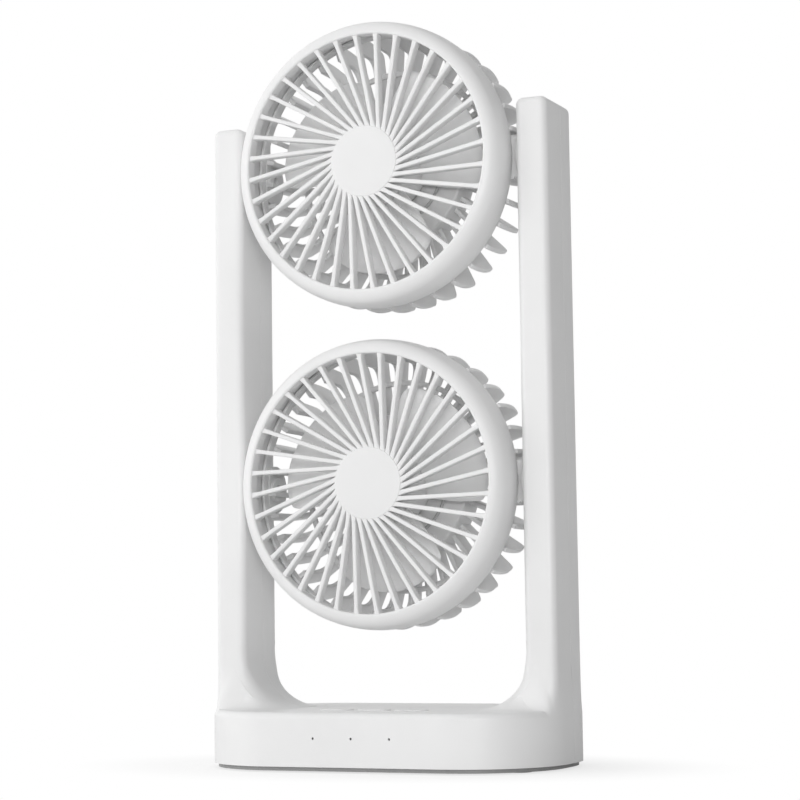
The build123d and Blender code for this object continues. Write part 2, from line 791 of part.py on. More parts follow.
def pivot_clips():
    start = bush_sleeve_end_x + clip_gap
    clip = rod_x(clip_radius, start, start + clip_thickness, 0, 0)
    clip -= rod_x(trunnion_radius + trunnion_fit, start - 1, start + clip_thickness + 1, 0, 0)
    return as_group([clip, mirrored(clip)])


def motor_board():
    """The round board inside the drum that drives the coils."""
    top = drum_front - drum_wall
    board = rod_z(motor_board_radius, top - motor_board_thickness, top)
    board -= rod_z(tube_flange_radius + 0.3, top - motor_board_thickness - 1, top + 1)
    return board


def motor_screws():
    one = screw(motor_screw_radius, motor_screw_head_radius, motor_screw_head_height, motor_screw_length)
    seat = drum_front + tube_flange_thickness
    return as_group([Pos(*polar(motor_screw_circle, angle), seat) * one for angle in motor_screw_angles()])


def bearing_tube():
    inner = bearing_radius + fit_gap
    back = drum_front - drum_wall
    tube = rod_z(inner + tube_wall, back, tube_front)
    flange = rod_z(tube_flange_radius, drum_front, drum_front + tube_flange_thickness)
    tube = tube + flange - rod_z(inner, back + 0.8, tube_front + 1)
    for angle in motor_screw_angles():
        x, y = polar(motor_screw_circle, angle)
        tube -= rod_z(motor_screw_radius + screw_clearance, drum_front - 1, drum_front + 3, x, y)
    return tube


def bearings():
    inner = shaft_radius + bearing_clearance
    return as_group([tube_z(bearing_radius, inner, z, z + bearing_width) for z in (bearing_back, bearing_front)])


def shaft():
    return rod_z(shaft_radius, shaft_back, shaft_front)


def stator_core():
    """The iron star: a hub, teeth and curved pole shoes."""
    bore = bearing_radius + 2 * fit_gap + tube_wall
    half = tooth_width / 2
    shoe_inner = stator_radius - pole_shoe_thickness
    tooth = block((stator_hub_radius - 1, -half, stator_back), (stator_radius - 0.3, half, stator_front))
    shoes = tube_z(stator_radius, shoe_inner, stator_back, stator_front)
    step = 360 / stator_poles
    slot = block((shoe_inner - 1, -1.0, stator_back - 1), (stator_radius + 1, 1.0, stator_front + 1))
    hub = rod_z(stator_hub_radius, stator_back, stator_front)
    core = join(hub, [Rot(0, 0, step * i) * tooth for i in range(stator_poles)] + [shoes])
    core -= rod_z(bore, stator_back - 1, stator_front + 1)
    for i in range(stator_poles):
        core -= Rot(0, 0, step * (i + 0.5)) * slot
    return core


def stator_coils():
    """One coil on each tooth."""
    half = tooth_width / 2 + coil_gap
    outer = half + coil_thickness
    near = stator_hub_radius + 0.3
    far = stator_radius - pole_shoe_thickness - 0.4
    coil = block((near, -outer, stator_back - coil_thickness), (far, outer, stator_front + coil_thickness))
    coil -= block((near - 1, -half, stator_back - coil_gap), (far + 1, half, stator_front + coil_gap))
    neighbours = Rot(0, 0, 180 / stator_poles) * block((0, -0.15, -9), (stator_radius, 0.15, 20))
    coil = coil - neighbours - Rot(0, 0, -360 / stator_poles) * neighbours
    step = 360 / stator_poles
    return as_group([Rot(0, 0, step * i) * largest(coil) for i in range(stator_poles)])


def largest(shape):
    return shape.solids().sort_by(SortBy.VOLUME)[-1]


def magnet_radius():
    return stator_radius + air_gap + magnet_thickness


def magnet_ring():
    return tube_z(magnet_radius(), stator_radius + air_gap, stator_back - 1, stator_front + 1)


def can_radius():
    return magnet_radius() + fit_gap + can_wall


def rotor_can():
    """The steel cup that carries the magnet and is pressed on the shaft."""
    can = rod_z(can_radius(), can_back, can_front)
    can -= rod_z(can_radius() - can_wall, can_back - 1, can_front - can_wall)
    can -= rod_z(shaft_radius + fit_gap / 2, can_front - 3, can_front + 1)
    return can


def blade_level(share):
    """One level cut through a blade: a strip from the hub to the tip, turned further towards the front."""
    turn = share - 0.5
    root = impeller_hub_radius - 0.6
    tip = impeller_radius + 0.6 - blade_corner_rounding * abs(2 * turn) ** 4
    root_angle = blade_root_sweep * turn
    tip_angle = blade_tip_sweep * turn
    root_half = degrees(blade_root_width / 2 / root)
    tip_half = degrees(blade_tip_width / 2 / tip)
    z = blade_back + (blade_front - blade_back) * share
    corners = [polar(root, root_angle - root_half), polar(tip, tip_angle - tip_half),
               polar(tip, tip_angle + tip_half), polar(root, root_angle + root_half)]
    return make_face(Polyline(*[(x, y, z) for x, y in corners], close=True))


def impeller():
    """The hub cup with its wide, twisted blades."""
    blade = loft([blade_level(i / (blade_sections - 1)) for i in range(blade_sections)])
    step = 360 / blade_count
    blades = [Rot(0, 0, step * i) * blade for i in range(blade_count)]
    hub = rod_z(impeller_hub_radius, impeller_hub_back, impeller_hub_front)
    hub = fillet(hub.edges().filter_by(GeomType.CIRCLE).sort_by(Axis.Z)[-1], impeller_hub_edge)
    body = join(hub, blades)
    body &= rod_z(impeller_radius, impeller_hub_back - 20, impeller_hub_front + 20)
    body -= rod_z(can_radius() + 0.15, impeller_hub_back - 20, can_front + 0.1)
    body -= rod_z(shaft_radius + fit_gap / 2, can_front - 1, shaft_front + 0.2)
    return body


def lead_tube(points, radii):
    """A thin wire along straight runs joined by arcs."""
    path = FilletPolyline(*points, radius=radii)
    start = Plane(origin=path @ 0, z_dir=path % 0)
    return sweep(start * Circle(lead_radius), path=path)


def corner_radii(points):
    """For each corner, 0.45 of its shorter run divided by the tangent of half the turn, at most 8."""
    radii = []
    for before, here, after in zip(points, points[1:], points[2:]):
        run_in = Vector(*here) - Vector(*before)
        run_out = Vector(*after) - Vector(*here)
        turn = radians(run_in.get_angle(run_out))
        shorter = min(run_in.length, run_out.length)
        radii.append(min(0.45 * shorter / (sin(turn / 2) / cos(turn / 2)), 8.0))
    return radii


def motor_leads():
    """The wire pair from the motor's board, round the drum's front edge, to the right pivot."""
    x, y = polar(head_lead_radius - 2.5, head_lead_start_angle)
    board_x, board_y = polar(motor_board_radius - 1.5, head_lead_start_angle)
    under_board = drum_front - drum_wall - motor_board_thickness - lead_radius
    points = [(board_x, board_y, under_board), (x, y, under_board), (x, y, head_lead_z)]
    count = 5
    for i in range(count):
        share = (i + 0.35) / (count - 1 + 0.35)
        angle = head_lead_start_angle + (head_lead_end_angle - head_lead_start_angle) * share
        points.append((*polar(head_lead_radius, angle), head_lead_z))
    points += [(31.0, -1.6, -4.6), (impeller_radius, -0.4, -3.6)]
    points += [(pivot_boss_inner_x - 6.0, 0.0, 0.0), (trunnion_end_x, 0.0, 0.0)]
    return lead_tube(points, corner_radii(points))


def fan_leads(pivot_z, lane_y, socket_y):
    """The wire pair from a pivot, down the right post and along the base to the board."""
    start_x = trunnion_end_x + lead_end_gap
    socket_x = board_width / 2 + 0.1
    socket_z = board_top + connector_height / 2
    points = [(start_x, 0, pivot_z), (start_x + 2.2, 0, pivot_z), (lead_lane_x, lane_y, pivot_z - 9)]
    points += [(lead_lane_x, lane_y, 50), (lead_lane_x - 1.6, lane_y - 2, base_top - 1.2)]
    points += [(post_inner_x - 0.8, lane_y - 11, 17)]
    points += [((post_inner_x + socket_x) / 2 - 1.45, socket_y + 3, socket_z), (socket_x, socket_y, socket_z)]
    return lead_tube(points, corner_radii(points))


def build_nodes():
    """Every piece of the fan by name, in place."""
    shell = frame_shell()
    nodes = {
        "front_shell": shell & half_space(True),
        "rear_shell": shell & half_space(False),
        "base_cover": base_cover(),
        "rubber_feet": rubber_feet(),
        "shell_screws": shell_screws(),
        "base_screws": base_screws(),
        "main_board": main_board(),
        "board_screws": board_screws(),
        "tact_switches": tact_switches(),
        "status_leds": status_leds(),
        "light_pipes": light_pipes(),
        "usb_board": inlet_board(),
        "usb_socket": inlet_socket(),
        "battery_cells": battery_cells(),
        "battery_cradle": battery_cradle(),
        "upper_fan_leads": fan_leads(upper_pivot_z, lead_lane_y, board_back_y - 5),
        "lower_fan_leads": fan_leads(lower_pivot_z, -lead_lane_y, board_back_y - 9),
    }
    for name, x in zip(side_names, button_places):
        nodes[name + "_button"] = button(x)
        nodes[name + "_plunger"] = plunger(x)
    head_pieces = {
        "front_guard": front_guard(), "rear_guard": rear_guard(), "rear_cap": rear_cap(),
        "trunnions": trunnions(), "pivot_clips": pivot_clips(), "motor_board": motor_board(),
        "motor_screws": motor_screws(), "bearing_tube": bearing_tube(), "bearings": bearings(),
        "stator_core": stator_core(), "stator_coils": stator_coils(), "motor_leads": motor_leads(),
        "shaft": shaft(), "rotor_can": rotor_can(), "magnet_ring": magnet_ring(),
    }
    rotor = impeller()
    for level, pivot_z in pivot_heights.items():
        for side in ("left", "right"):
            nodes[level + "_" + side + "_bush"] = pivot_bush(side, pivot_z)
        for name, shape in head_pieces.items():
            nodes[level + "_" + name] = placed(shape, pivot_z)
        turned = Rot(0, 0, impeller_phases[level]) * rotor
        nodes[level + "_impeller"] = placed(turned, pivot_z)
    return nodes


os.makedirs("parts", exist_ok=True)
for node_name, node_shape in build_nodes().items():
    export_step(node_shape, "parts/" + node_name + ".step")
    print(node_name, len(node_shape.solids()), "solids", round(node_shape.volume), "mm3")
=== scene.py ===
# %% [markdown]
# # Desk fan with two tilting heads
# The fan was first drawn as exact solids, one for each separate part, and packed into a fixed
# frame. This lesson dresses that frame. Every part gets a finish built from shader nodes, the
# guards and impellers are drawn again with the soft edges of real mouldings, and then come the
# floor, the lights and the camera. Blender's lengths are metres, and the fan's are millimetres.

import json
import math

import bmesh
import bpy
from mathutils import Matrix, Vector


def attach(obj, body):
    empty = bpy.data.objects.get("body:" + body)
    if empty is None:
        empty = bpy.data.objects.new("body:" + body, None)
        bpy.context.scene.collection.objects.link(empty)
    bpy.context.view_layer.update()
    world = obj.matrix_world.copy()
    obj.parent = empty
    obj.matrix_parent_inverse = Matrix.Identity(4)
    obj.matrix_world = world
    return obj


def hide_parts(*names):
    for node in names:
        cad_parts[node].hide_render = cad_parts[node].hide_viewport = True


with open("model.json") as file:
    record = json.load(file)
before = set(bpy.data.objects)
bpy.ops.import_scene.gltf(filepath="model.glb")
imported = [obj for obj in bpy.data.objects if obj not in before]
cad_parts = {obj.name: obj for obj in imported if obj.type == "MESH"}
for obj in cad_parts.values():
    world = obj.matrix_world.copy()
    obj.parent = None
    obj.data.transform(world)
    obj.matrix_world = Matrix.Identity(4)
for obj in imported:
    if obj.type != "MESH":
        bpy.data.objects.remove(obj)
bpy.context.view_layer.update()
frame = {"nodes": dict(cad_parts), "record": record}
node_slot = {part["node"]: part["material_slot"] for part in frame["record"]["subparts"]}

# %% [markdown]
# ## From points to a mesh
# A moulded fan guard is a few simple shapes repeated many times. One could model it by hand,
# with modifiers for the array and the bevels. Here the points are worked out instead, because
# the sizes are known, and a change of one number then changes all 36 ribs at once.
#
# A head's pieces are drawn lying on their back: +x is right, +y is up and +z comes out of the
# front. One step at the end stands them up in the frame, at the height of their pivot.

# %% A piece from its points
MM = 0.001
SHARP_ANGLE = 40.0


def make_piece(name, verts, faces):
    """A mesh object whose faces all look outwards, smooth except at its sharp edges."""
    mesh = bpy.data.meshes.new(name)
    mesh.from_pydata(verts, [], faces)
    mesh.validate()
    work = bmesh.new()
    work.from_mesh(mesh)
    bmesh.ops.recalc_face_normals(work, faces=work.faces)
    work.to_mesh(mesh)
    work.free()
    mesh.polygons.foreach_set("use_smooth", [True] * len(mesh.polygons))
    mesh.set_sharp_from_angle(angle=math.radians(SHARP_ANGLE))
    piece = bpy.data.objects.new(name, mesh)
    bpy.context.scene.collection.objects.link(piece)
    return piece


class Build:
    """Collects the shapes of one piece in a head's own frame, in millimetres."""

    def __init__(self):
        self.verts = []
        self.faces = []

    def add(self, verts, faces, turn=0.0):
        start = len(self.verts)
        c, s = math.cos(math.radians(turn)), math.sin(math.radians(turn))
        self.verts += [(x * c - y * s, x * s + y * c, z) for x, y, z in verts]
        self.faces += [tuple(start + i for i in face) for face in faces]

    def add_around(self, shape, count, first_angle):
        """The same shape several times, evenly round the axis."""
        for i in range(count):
            self.add(*shape, turn=first_angle + 360 / count * i)

    def stood_up(self, height):
        """The points as they stand in the frame, in metres."""
        return [(x * MM, -z * MM, (y + height) * MM) for x, y, z in self.verts]


print("a piece is smooth where its faces meet at less than", SHARP_ANGLE, "degrees")

# %% Arcs and curves
def arc(centre, radii, start, end, steps):
    """Points on an elliptical arc, angles in degrees."""
    points = []
    for i in range(steps + 1):
        a = math.radians(start + (end - start) * i / steps)
        points.append((centre[0] + radii[0] * math.cos(a), centre[1] + radii[1] * math.sin(a)))
    return points


def three_point(start, middle, end, steps):
    """Points on the circle through three points."""
    (ax, ay), (bx, by), (cx, cy) = start, middle, end
    d = 2 * (ax * (by - cy) + bx * (cy - ay) + cx * (ay - by))
    a2, b2, c2 = ax * ax + ay * ay, bx * bx + by * by, cx * cx + cy * cy
    centre = Vector(((a2 * (by - cy) + b2 * (cy - ay) + c2 * (ay - by)) / d,
                     (a2 * (cx - bx) + b2 * (ax - cx) + c2 * (bx - ax)) / d))
    a0, a1 = Vector(start) - centre, Vector(end) - centre
    sweep = -a0.angle_signed(a1)
    points = []
    for i in range(steps + 1):
        t = sweep * i / steps
        c, s = math.cos(t), math.sin(t)
        points.append((centre.x + a0.x * c - a0.y * s, centre.y + a0.x * s + a0.y * c))
    return points


def drawn_curve(points, steps):
    """A smooth curve from the first of four points to the last, pulled by the middle two."""
    curve = []
    for i in range(steps + 1):
        t = i / steps
        pulls = ((1 - t) ** 3, 3 * t * (1 - t) ** 2, 3 * t * t * (1 - t), t ** 3)
        curve.append(tuple(sum(p * point[axis] for p, point in zip(pulls, points))
                           for axis in (0, 1)))
    return curve


print("a quarter circle in 8 steps:", len(arc((0, 0), (1, 1), 0, 90, 8)), "points")

# %% Rounded corners
STRAIGHT_ANGLE, MOST_OF_A_SIDE = 179.0, 0.49


def rounded_profile(points, radii, steps=4):
    """A closed outline with its corners rounded. There is one radius for each point."""
    out = []
    count = len(points)
    for i in range(count):
        before, here = Vector(points[i - 1]), Vector(points[i])
        after = Vector(points[(i + 1) % count])
        into, away = (before - here), (after - here)
        angle = into.angle(away)
        radius = radii[i]
        if radius <= 0 or angle > math.radians(STRAIGHT_ANGLE):
            out.append(tuple(here))
            continue
        room = MOST_OF_A_SIDE * min(into.length, away.length)
        reach = min(radius / math.tan(angle / 2), room)
        radius = reach * math.tan(angle / 2)
        start, end = here + into.normalized() * reach, here + away.normalized() * reach
        halfway = (into.normalized() + away.normalized()).normalized()
        centre = here + halfway * (radius / math.sin(angle / 2))
        a0, a1 = start - centre, end - centre
        sweep = a0.angle_signed(a1)
        for k in range(steps + 1):
            t = sweep * k / steps
            c, s = math.cos(-t), math.sin(-t)
            out.append((centre.x + a0.x * c - a0.y * s, centre.y + a0.x * s + a0.y * c))
    return out


print("a square with rounded corners:",
      len(rounded_profile([(0, 0), (9, 0), (9, 9), (0, 9)], [2, 2, 2, 2])), "points")

# %% Outlines drawn in
FLUSH, LEAST_COSINE = 1e-9, 0.5


def inset(points, distance):
    """A counter-clockwise outline drawn in by a small distance."""
    out = []
    count = len(points)
    for i in range(count):
        before, here = Vector(points[i - 1]), Vector(points[i])
        after = Vector(points[(i + 1) % count])
        first = (here - before).normalized()
        second = (after - here).normalized()
        normal = Vector((-first.y - second.y, first.x + second.x))
        if normal.length < FLUSH:
            normal = Vector((-first.y, first.x))
        normal.normalize()
        cosine = max(LEAST_COSINE, normal.dot(Vector((-first.y, first.x))))
        out.append(tuple(here + normal * (distance / cosine)))
    return out


def area_of(points):
    """The area inside an outline, below zero when it runs clockwise."""
    return 0.5 * sum(points[i - 1][0] * points[i][1] - points[i][0] * points[i - 1][1]
                     for i in range(len(points)))


print("area of a 9 mm square drawn in by 1 mm:",
      round(area_of(inset([(0, 0), (9, 0), (9, 9), (0, 9)], 1.0)), 3), "mm2")

# %% Shapes from outlines
EDGE_SHARES = (0.0, 0.35, 0.7, 1.0)


def revolved(profile, segments):
    """A closed profile of (radius, z) points turned round the z axis."""
    verts, rows = [], []
    for radius, z in profile:
        turns = segments if radius > 0 else 1
        rows.append([len(verts) + i % turns for i in range(segments)])
        for i in range(turns):
            a = 2 * math.pi * i / segments
            verts.append((radius * math.cos(a), radius * math.sin(a), z))
    faces = []
    for k, here in enumerate(rows):
        following = rows[(k + 1) % len(rows)]
        for i in range(segments):
            j = (i + 1) % segments
            face = tuple(dict.fromkeys((here[i], following[i], following[j], here[j])))
            if len(face) > 2:
                faces.append(face)
    return verts, faces


def lofted(loops, closed_ends=True):
    """Equal loops of points joined by quads, and capped at both ends if closed_ends is set."""
    count = len(loops[0])
    verts = [point for loop in loops for point in loop]
    faces = []
    for i in range(len(loops) - 1):
        here, following = i * count, (i + 1) * count
        for k in range(count):
            m = (k + 1) % count
            faces.append((here + k, here + m, following + m, following + k))
    if closed_ends:
        faces.append(tuple(reversed(range(count))))
        faces.append(tuple(range((len(loops) - 1) * count, len(loops) * count)))
    return verts, faces


def round_plate(outline, thickness, edge, place):
    """A plate with rounded edges. place turns (along, z, across) into a point."""
    if area_of(outline) < 0:
        outline = outline[::-1]
    half = thickness / 2
    layers = []
    for share in EDGE_SHARES:
        a = math.radians(90 * (1 - share))
        layers.append((edge * (1 - math.cos(a)), -half + edge - edge * math.sin(a)))
    layers += [(d, -across) for d, across in reversed(layers)]
    loops = [[place(u, v, across) for u, v in (inset(outline, d) if d > FLUSH else outline)]
             for d, across in layers]
    return lofted(loops)


print("a turned square:", len(revolved([(5, 0), (6, 0), (6, 1), (5, 1)], 48)[1]), "faces")

# %% [markdown]
# ## Finishes from nodes
# Plastic is never one flat colour. It has a fine grain from its mould, a slow waviness, and
# slightly shinier and duller patches. A photographed texture could show that, but it needs
# flat maps of every part. Noise worked out at each point of the object needs none, and it
# stays sharp however near one comes.

# %% A shader
materials = {}


def grey(value):
    return (value, value, value, 1.0)


class Principled:
    """One finish: a Principled shader, kept in materials under its name."""

    def __init__(self, name):
        self.material = bpy.data.materials.new(name)
        self.material.use_nodes = True
        self.tree = self.material.node_tree
        self.tree.nodes.clear()
        self.output = self.tree.nodes.new("ShaderNodeOutputMaterial")
        self.shader = self.tree.nodes.new("ShaderNodeBsdfPrincipled")
        self.tree.links.new(self.shader.outputs[0], self.output.inputs["Surface"])
        self.coords = self.tree.nodes.new("ShaderNodeTexCoord")
        self.bumps = []
        materials[name] = self.material

    def set(self, **values):
        """Values that are the same all over, such as Metallic."""
        for key, value in values.items():
            self.shader.inputs[key.replace("_", " ")].default_value = value
        return self

    def link(self, source, target):
        self.tree.links.new(source, target)


print("materials so far:", len(materials))

# %% Textures
class Textured(Principled):
    """Textures that read the object's own coordinates, and so stay with it."""

    def node(self, kind, inputs, vector=None):
        node = self.tree.nodes.new(kind)
        for key, value in inputs.items():
            node.inputs[key].default_value = value
        self.link(vector or self.coords.outputs["Object"], node.inputs["Vector"])
        return node

    def stretch(self, scale):
        return self.node("ShaderNodeMapping", {"Scale": scale}).outputs[0]

    def noise(self, scale, detail=2.0, roughness=0.5, vector=None):
        inputs = {"Scale": scale, "Detail": detail, "Roughness": roughness}
        return self.node("ShaderNodeTexNoise", inputs, vector).outputs["Fac"]

    def cells(self, scale):
        return self.node("ShaderNodeTexVoronoi", {"Scale": scale}).outputs["Distance"]

    def bands(self, scale, direction, distortion=0.0):
        node = self.node("ShaderNodeTexWave", {"Scale": scale, "Distortion": distortion})
        node.bands_direction = direction
        return node.outputs["Fac"]


def helpers(kind):
    return ", ".join(name for name in vars(kind) if not name.startswith("_"))


print("textures:", helpers(Textured))

# %% Colour, roughness and relief
class Shader(Textured):
    """What a texture does to the finish."""

    def ramp(self, factor, low, high, start=0.0, end=1.0):
        """low to high as factor goes from start to end."""
        node = self.tree.nodes.new("ShaderNodeMapRange")
        node.inputs["From Min"].default_value = start
        node.inputs["From Max"].default_value = end
        node.inputs["To Min"].default_value = low
        node.inputs["To Max"].default_value = high
        self.link(factor, node.inputs["Value"])
        return node.outputs["Result"]

    def mix(self, factor, first, second):
        """A colour between two. Each is a colour or a socket."""
        node = self.tree.nodes.new("ShaderNodeMix")
        node.data_type = "RGBA"
        self.link(factor, node.inputs["Factor"])
        for value, socket in ((first, node.inputs["A"]), (second, node.inputs["B"])):
            if isinstance(value, tuple):
                socket.default_value = value
            else:
                self.link(value, socket)
        return node.outputs["Result"]

    def colour(self, socket):
        self.link(socket, self.shader.inputs["Base Color"])
        return self

    def rough(self, socket):
        self.link(socket, self.shader.inputs["Roughness"])
        return self

    def bump(self, height, depth_mm, strength=1.0):
        """Surface relief, laid over any that was added before."""
        node = self.tree.nodes.new("ShaderNodeBump")
        node.inputs["Strength"].default_value = strength
        node.inputs["Distance"].default_value = depth_mm * MM
        self.link(height, node.inputs["Height"])
        if self.bumps:
            self.link(self.bumps[-1], node.inputs["Normal"])
        self.bumps.append(node.outputs["Normal"])
        self.link(node.outputs["Normal"], self.shader.inputs["Normal"])
        return self


print("effects:", helpers(Shader))

# %% [markdown]
# ## Moulded plastic and rubber
# Nearly all of this fan is white plastic. The mould leaves a fine eroded grain on it, and the
# wall draws in a little as it cools, which bends reflections softly. Both are relief in the
# shader: as real geometry they would need millions of faces. The blades are thin, and let some
# light through, so they get a little subsurface scattering.

# %% Plastics
WALL_WAVE_MM = 0.06


def moulded(name, value, roughness, grain_mm=0.25, relief_mm=0.012, drift=0.02):
    """Moulded plastic: fine grain, slow waviness and a trace of flow marks in its colour."""
    s = Shader(name)
    flow = s.ramp(s.noise(22.0, detail=3.0), 0.0, 1.0, 0.3, 0.7)
    s.colour(s.mix(flow, grey(value * (1 - drift)), grey(value * (1 + drift))))
    s.rough(s.ramp(s.noise(90.0, detail=4.0), roughness - 0.05, roughness + 0.06, 0.3, 0.7))
    s.bump(s.noise(1000.0 / grain_mm, detail=2.0, roughness=0.6), relief_mm, 0.5)
    s.bump(s.noise(45.0, detail=1.0), WALL_WAVE_MM, 0.25)
    return s.set(IOR=1.49)


moulded("shell_white", 0.82, 0.42).set(Specular_IOR_Level=0.45)
moulded("guard_white", 0.82, 0.40, grain_mm=0.2).set(Specular_IOR_Level=0.45)
moulded("button_white", 0.82, 0.38, grain_mm=0.18)
moulded("bush_white", 0.80, 0.34, grain_mm=0.4, relief_mm=0.006)
# The bottom cover is grey, and its dark grey also holds the shade under the base's rim: painted
# shade.
moulded("cover_grey", 0.30, 0.5, grain_mm=0.35, relief_mm=0.02)
moulded("switch_black", 0.035, 0.45, drift=0.1)
# The blades' white is set lighter than the guards' and housing's, though it is the same plastic,
# so that their shade behind the ribs reads lighter: painted light.
blades = moulded("blade_white", 0.92, 0.36, grain_mm=0.3, relief_mm=0.008)
blades.set(Subsurface_Weight=0.5, Subsurface_Scale=0.004, Subsurface_Radius=(1, 1, 1))
rubber = moulded("foot_rubber", 0.045, 0.8, grain_mm=0.5, relief_mm=0.04, drift=0.15)
rubber.set(Specular_IOR_Level=0.3)
print("plastics and rubber:", len(materials))

# %% [markdown]
# ## Metals
# Screws, the charging socket, the motor's can and its brass tube are turned or drawn, which
# leaves fine lines along one direction. Anisotropic reflection is one way to show them. Noise
# stretched along one axis is simpler, and it shows the lines themselves when one comes close.

# %% Metals
STAIN = 0.82


def metal(name, base, roughness, along=(1.0, 1.0, 14.0)):
    """Metal with fine drawn lines along one axis and small stains."""
    s = Shader(name)
    dark = tuple(c * STAIN for c in base[:3]) + (1.0,)
    s.colour(s.mix(s.ramp(s.noise(160.0, detail=5.0), 0.0, 1.0, 0.35, 0.75), base, dark))
    lines = s.noise(420.0, detail=3.0, vector=s.stretch(along))
    s.rough(s.ramp(lines, roughness - 0.08, roughness + 0.12, 0.3, 0.7))
    s.bump(lines, 0.01, 0.4)
    return s.set(Metallic=1.0)


metal("screw_steel", grey(0.55), 0.34)
metal("socket_steel", grey(0.62), 0.24, along=(1.0, 10.0, 1.0))
metal("motor_steel", grey(0.52), 0.3)
metal("tube_brass", (0.66, 0.50, 0.22, 1.0), 0.28)
core = metal("core_steel", grey(0.3), 0.42)
core.bump(core.bands(320.0, "Y"), 0.05, 0.6)
print("with the metals:", len(materials))

# %% [markdown]
# ## Motor and electronics
# A small motor has a stack of thin iron sheets, coils of lacquered copper wire and a dark
# bonded magnet. Single turns of wire could be modelled as a long curve. They are finer than a
# picture of the whole fan can show, so bands across the coil stand for them. In the same way,
# bent bands make the board's copper tracks and spots make its solder.

# %% Coils, magnet and boards
coil = Shader("coil_copper")
turns = coil.bands(520.0, "Z", distortion=0.6)
coil.colour(coil.mix(turns, (0.30, 0.10, 0.035, 1.0), (0.62, 0.28, 0.11, 1.0)))
coil.rough(coil.ramp(turns, 0.42, 0.22)).bump(turns, 0.12, 0.8)
coil.set(Metallic=0.85, Coat_Weight=0.4, Coat_Roughness=0.15)

magnet = Shader("magnet_dark")
speck = magnet.cells(1400.0)
magnet.colour(magnet.mix(magnet.ramp(speck, 0.0, 1.0, 0.1, 0.6), grey(0.05), grey(0.11)))
magnet.rough(magnet.ramp(speck, 0.35, 0.62)).bump(speck, 0.03, 0.5).set(Metallic=0.5)

board = Shader("board_green")
tracks = board.bands(95.0, "X", distortion=3.5)
solder = board.cells(240.0)
lacquer = board.mix(board.ramp(tracks, 0.0, 1.0, 0.45, 0.55),
                    (0.012, 0.10, 0.035, 1.0), (0.025, 0.19, 0.07, 1.0))
spots = board.ramp(solder, 1.0, 0.0, 0.13, 0.16)
board.colour(board.mix(spots, lacquer, (0.55, 0.53, 0.46, 1.0)))
board.rough(board.ramp(solder, 0.2, 0.36, 0.1, 0.2)).bump(tracks, 0.03, 0.5)
board.set(Coat_Weight=0.35, Coat_Roughness=0.2)
print("with motor and boards:", len(materials))

# %% [markdown]
# ## Clear pins, cells and wires
# Behind each of the three pin-holes in the base sits a clear pin that carries a lamp's light.
# It looks dark while the lamp is off, because one sees through it into the housing, so it is
# made see-through and not painted dark. The cells wear a shrunk blue sleeve with small folds,
# and the wires a glossy soft one.

# %% Clear and sleeved parts
lamp = Shader("lamp_clear")
cloud = lamp.noise(600.0, detail=2.0)
lamp.colour(lamp.mix(cloud, (0.7272, 0.72, 0.7128, 1.0), (0.8888, 0.88, 0.8712, 1.0)))
lamp.rough(lamp.ramp(cloud, 0.12, 0.3)).bump(cloud, 0.01, 0.3)
lamp.set(Transmission_Weight=0.96, IOR=1.49)

wrap = Shader("cell_wrap")
folds = wrap.noise(160.0, detail=3.0, vector=wrap.stretch((0.2, 1.0, 1.0)))
wrap.colour(wrap.mix(folds, (0.03, 0.13, 0.30, 1.0), (0.06, 0.22, 0.44, 1.0)))
wrap.rough(wrap.ramp(folds, 0.2, 0.4)).bump(folds, 0.1, 0.35)
wrap.set(Coat_Weight=0.5, Coat_Roughness=0.12)

sleeve = Shader("lead_sleeve")
ripple = sleeve.noise(700.0, detail=3.0)
sleeve.colour(sleeve.mix(ripple, grey(0.42), grey(0.62)))
sleeve.rough(sleeve.ramp(ripple, 0.16, 0.3)).bump(ripple, 0.02, 0.4)
sleeve.set(Coat_Weight=0.6, Coat_Roughness=0.08)
print("materials:", len(materials), "for", len(set(node_slot.values())), "slots")

# %% [markdown]
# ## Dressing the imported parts
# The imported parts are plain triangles, and each flat face would show. Shading everything
# smooth would blur the real edges. So the doubled corners are welded, and only edges flatter
# than a chosen angle are shaded smooth. A node group does that for all parts, and leaves their
# own meshes as they were packed.

# %% Smooth shading by angle
WELD_DISTANCE = 2e-6


def smoothing_group(angle):
    """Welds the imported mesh's split corners and shades it smooth below an angle."""
    group = bpy.data.node_groups.new("smooth_by_angle", "GeometryNodeTree")
    for direction in ("INPUT", "OUTPUT"):
        group.interface.new_socket("Geometry", in_out=direction,
                                   socket_type="NodeSocketGeometry")
    new = group.nodes.new
    start, end = new("NodeGroupInput"), new("NodeGroupOutput")
    weld = new("GeometryNodeMergeByDistance")
    weld.inputs["Distance"].default_value = WELD_DISTANCE
    faces, edges = new("GeometryNodeSetShadeSmooth"), new("GeometryNodeSetShadeSmooth")
    faces.domain, edges.domain = "FACE", "EDGE"
    edge_angle = new("GeometryNodeInputMeshEdgeAngle")
    under = new("FunctionNodeCompare")
    under.data_type, under.operation = "FLOAT", "LESS_THAN"
    under.inputs[1].default_value = math.radians(angle)
    link = group.links.new
    link(start.outputs[0], weld.inputs["Geometry"])
    link(weld.outputs[0], faces.inputs["Geometry"])
    link(faces.outputs[0], edges.inputs["Geometry"])
    link(edge_angle.outputs["Unsigned Angle"], under.inputs[0])
    link(under.outputs[0], edges.inputs["Shade Smooth"])
    link(edges.outputs[0], end.inputs[0])
    return group


SMOOTH_BELOW = 24.0
smooth_group = smoothing_group(SMOOTH_BELOW)
print("smooth below", SMOOTH_BELOW, "degrees")

# %% Materials on the parts
def dress(piece, slot):
    """Gives a piece its slot's material."""
    piece.data.materials.clear()
    piece.data.materials.append(materials[slot])


for name, node in frame["nodes"].items():
    dress(node, node_slot[name])
    modifier = node.modifiers.new("smooth", "NODES")
    modifier.node_group = smooth_group
print("packed parts dressed:", len(frame["nodes"]))

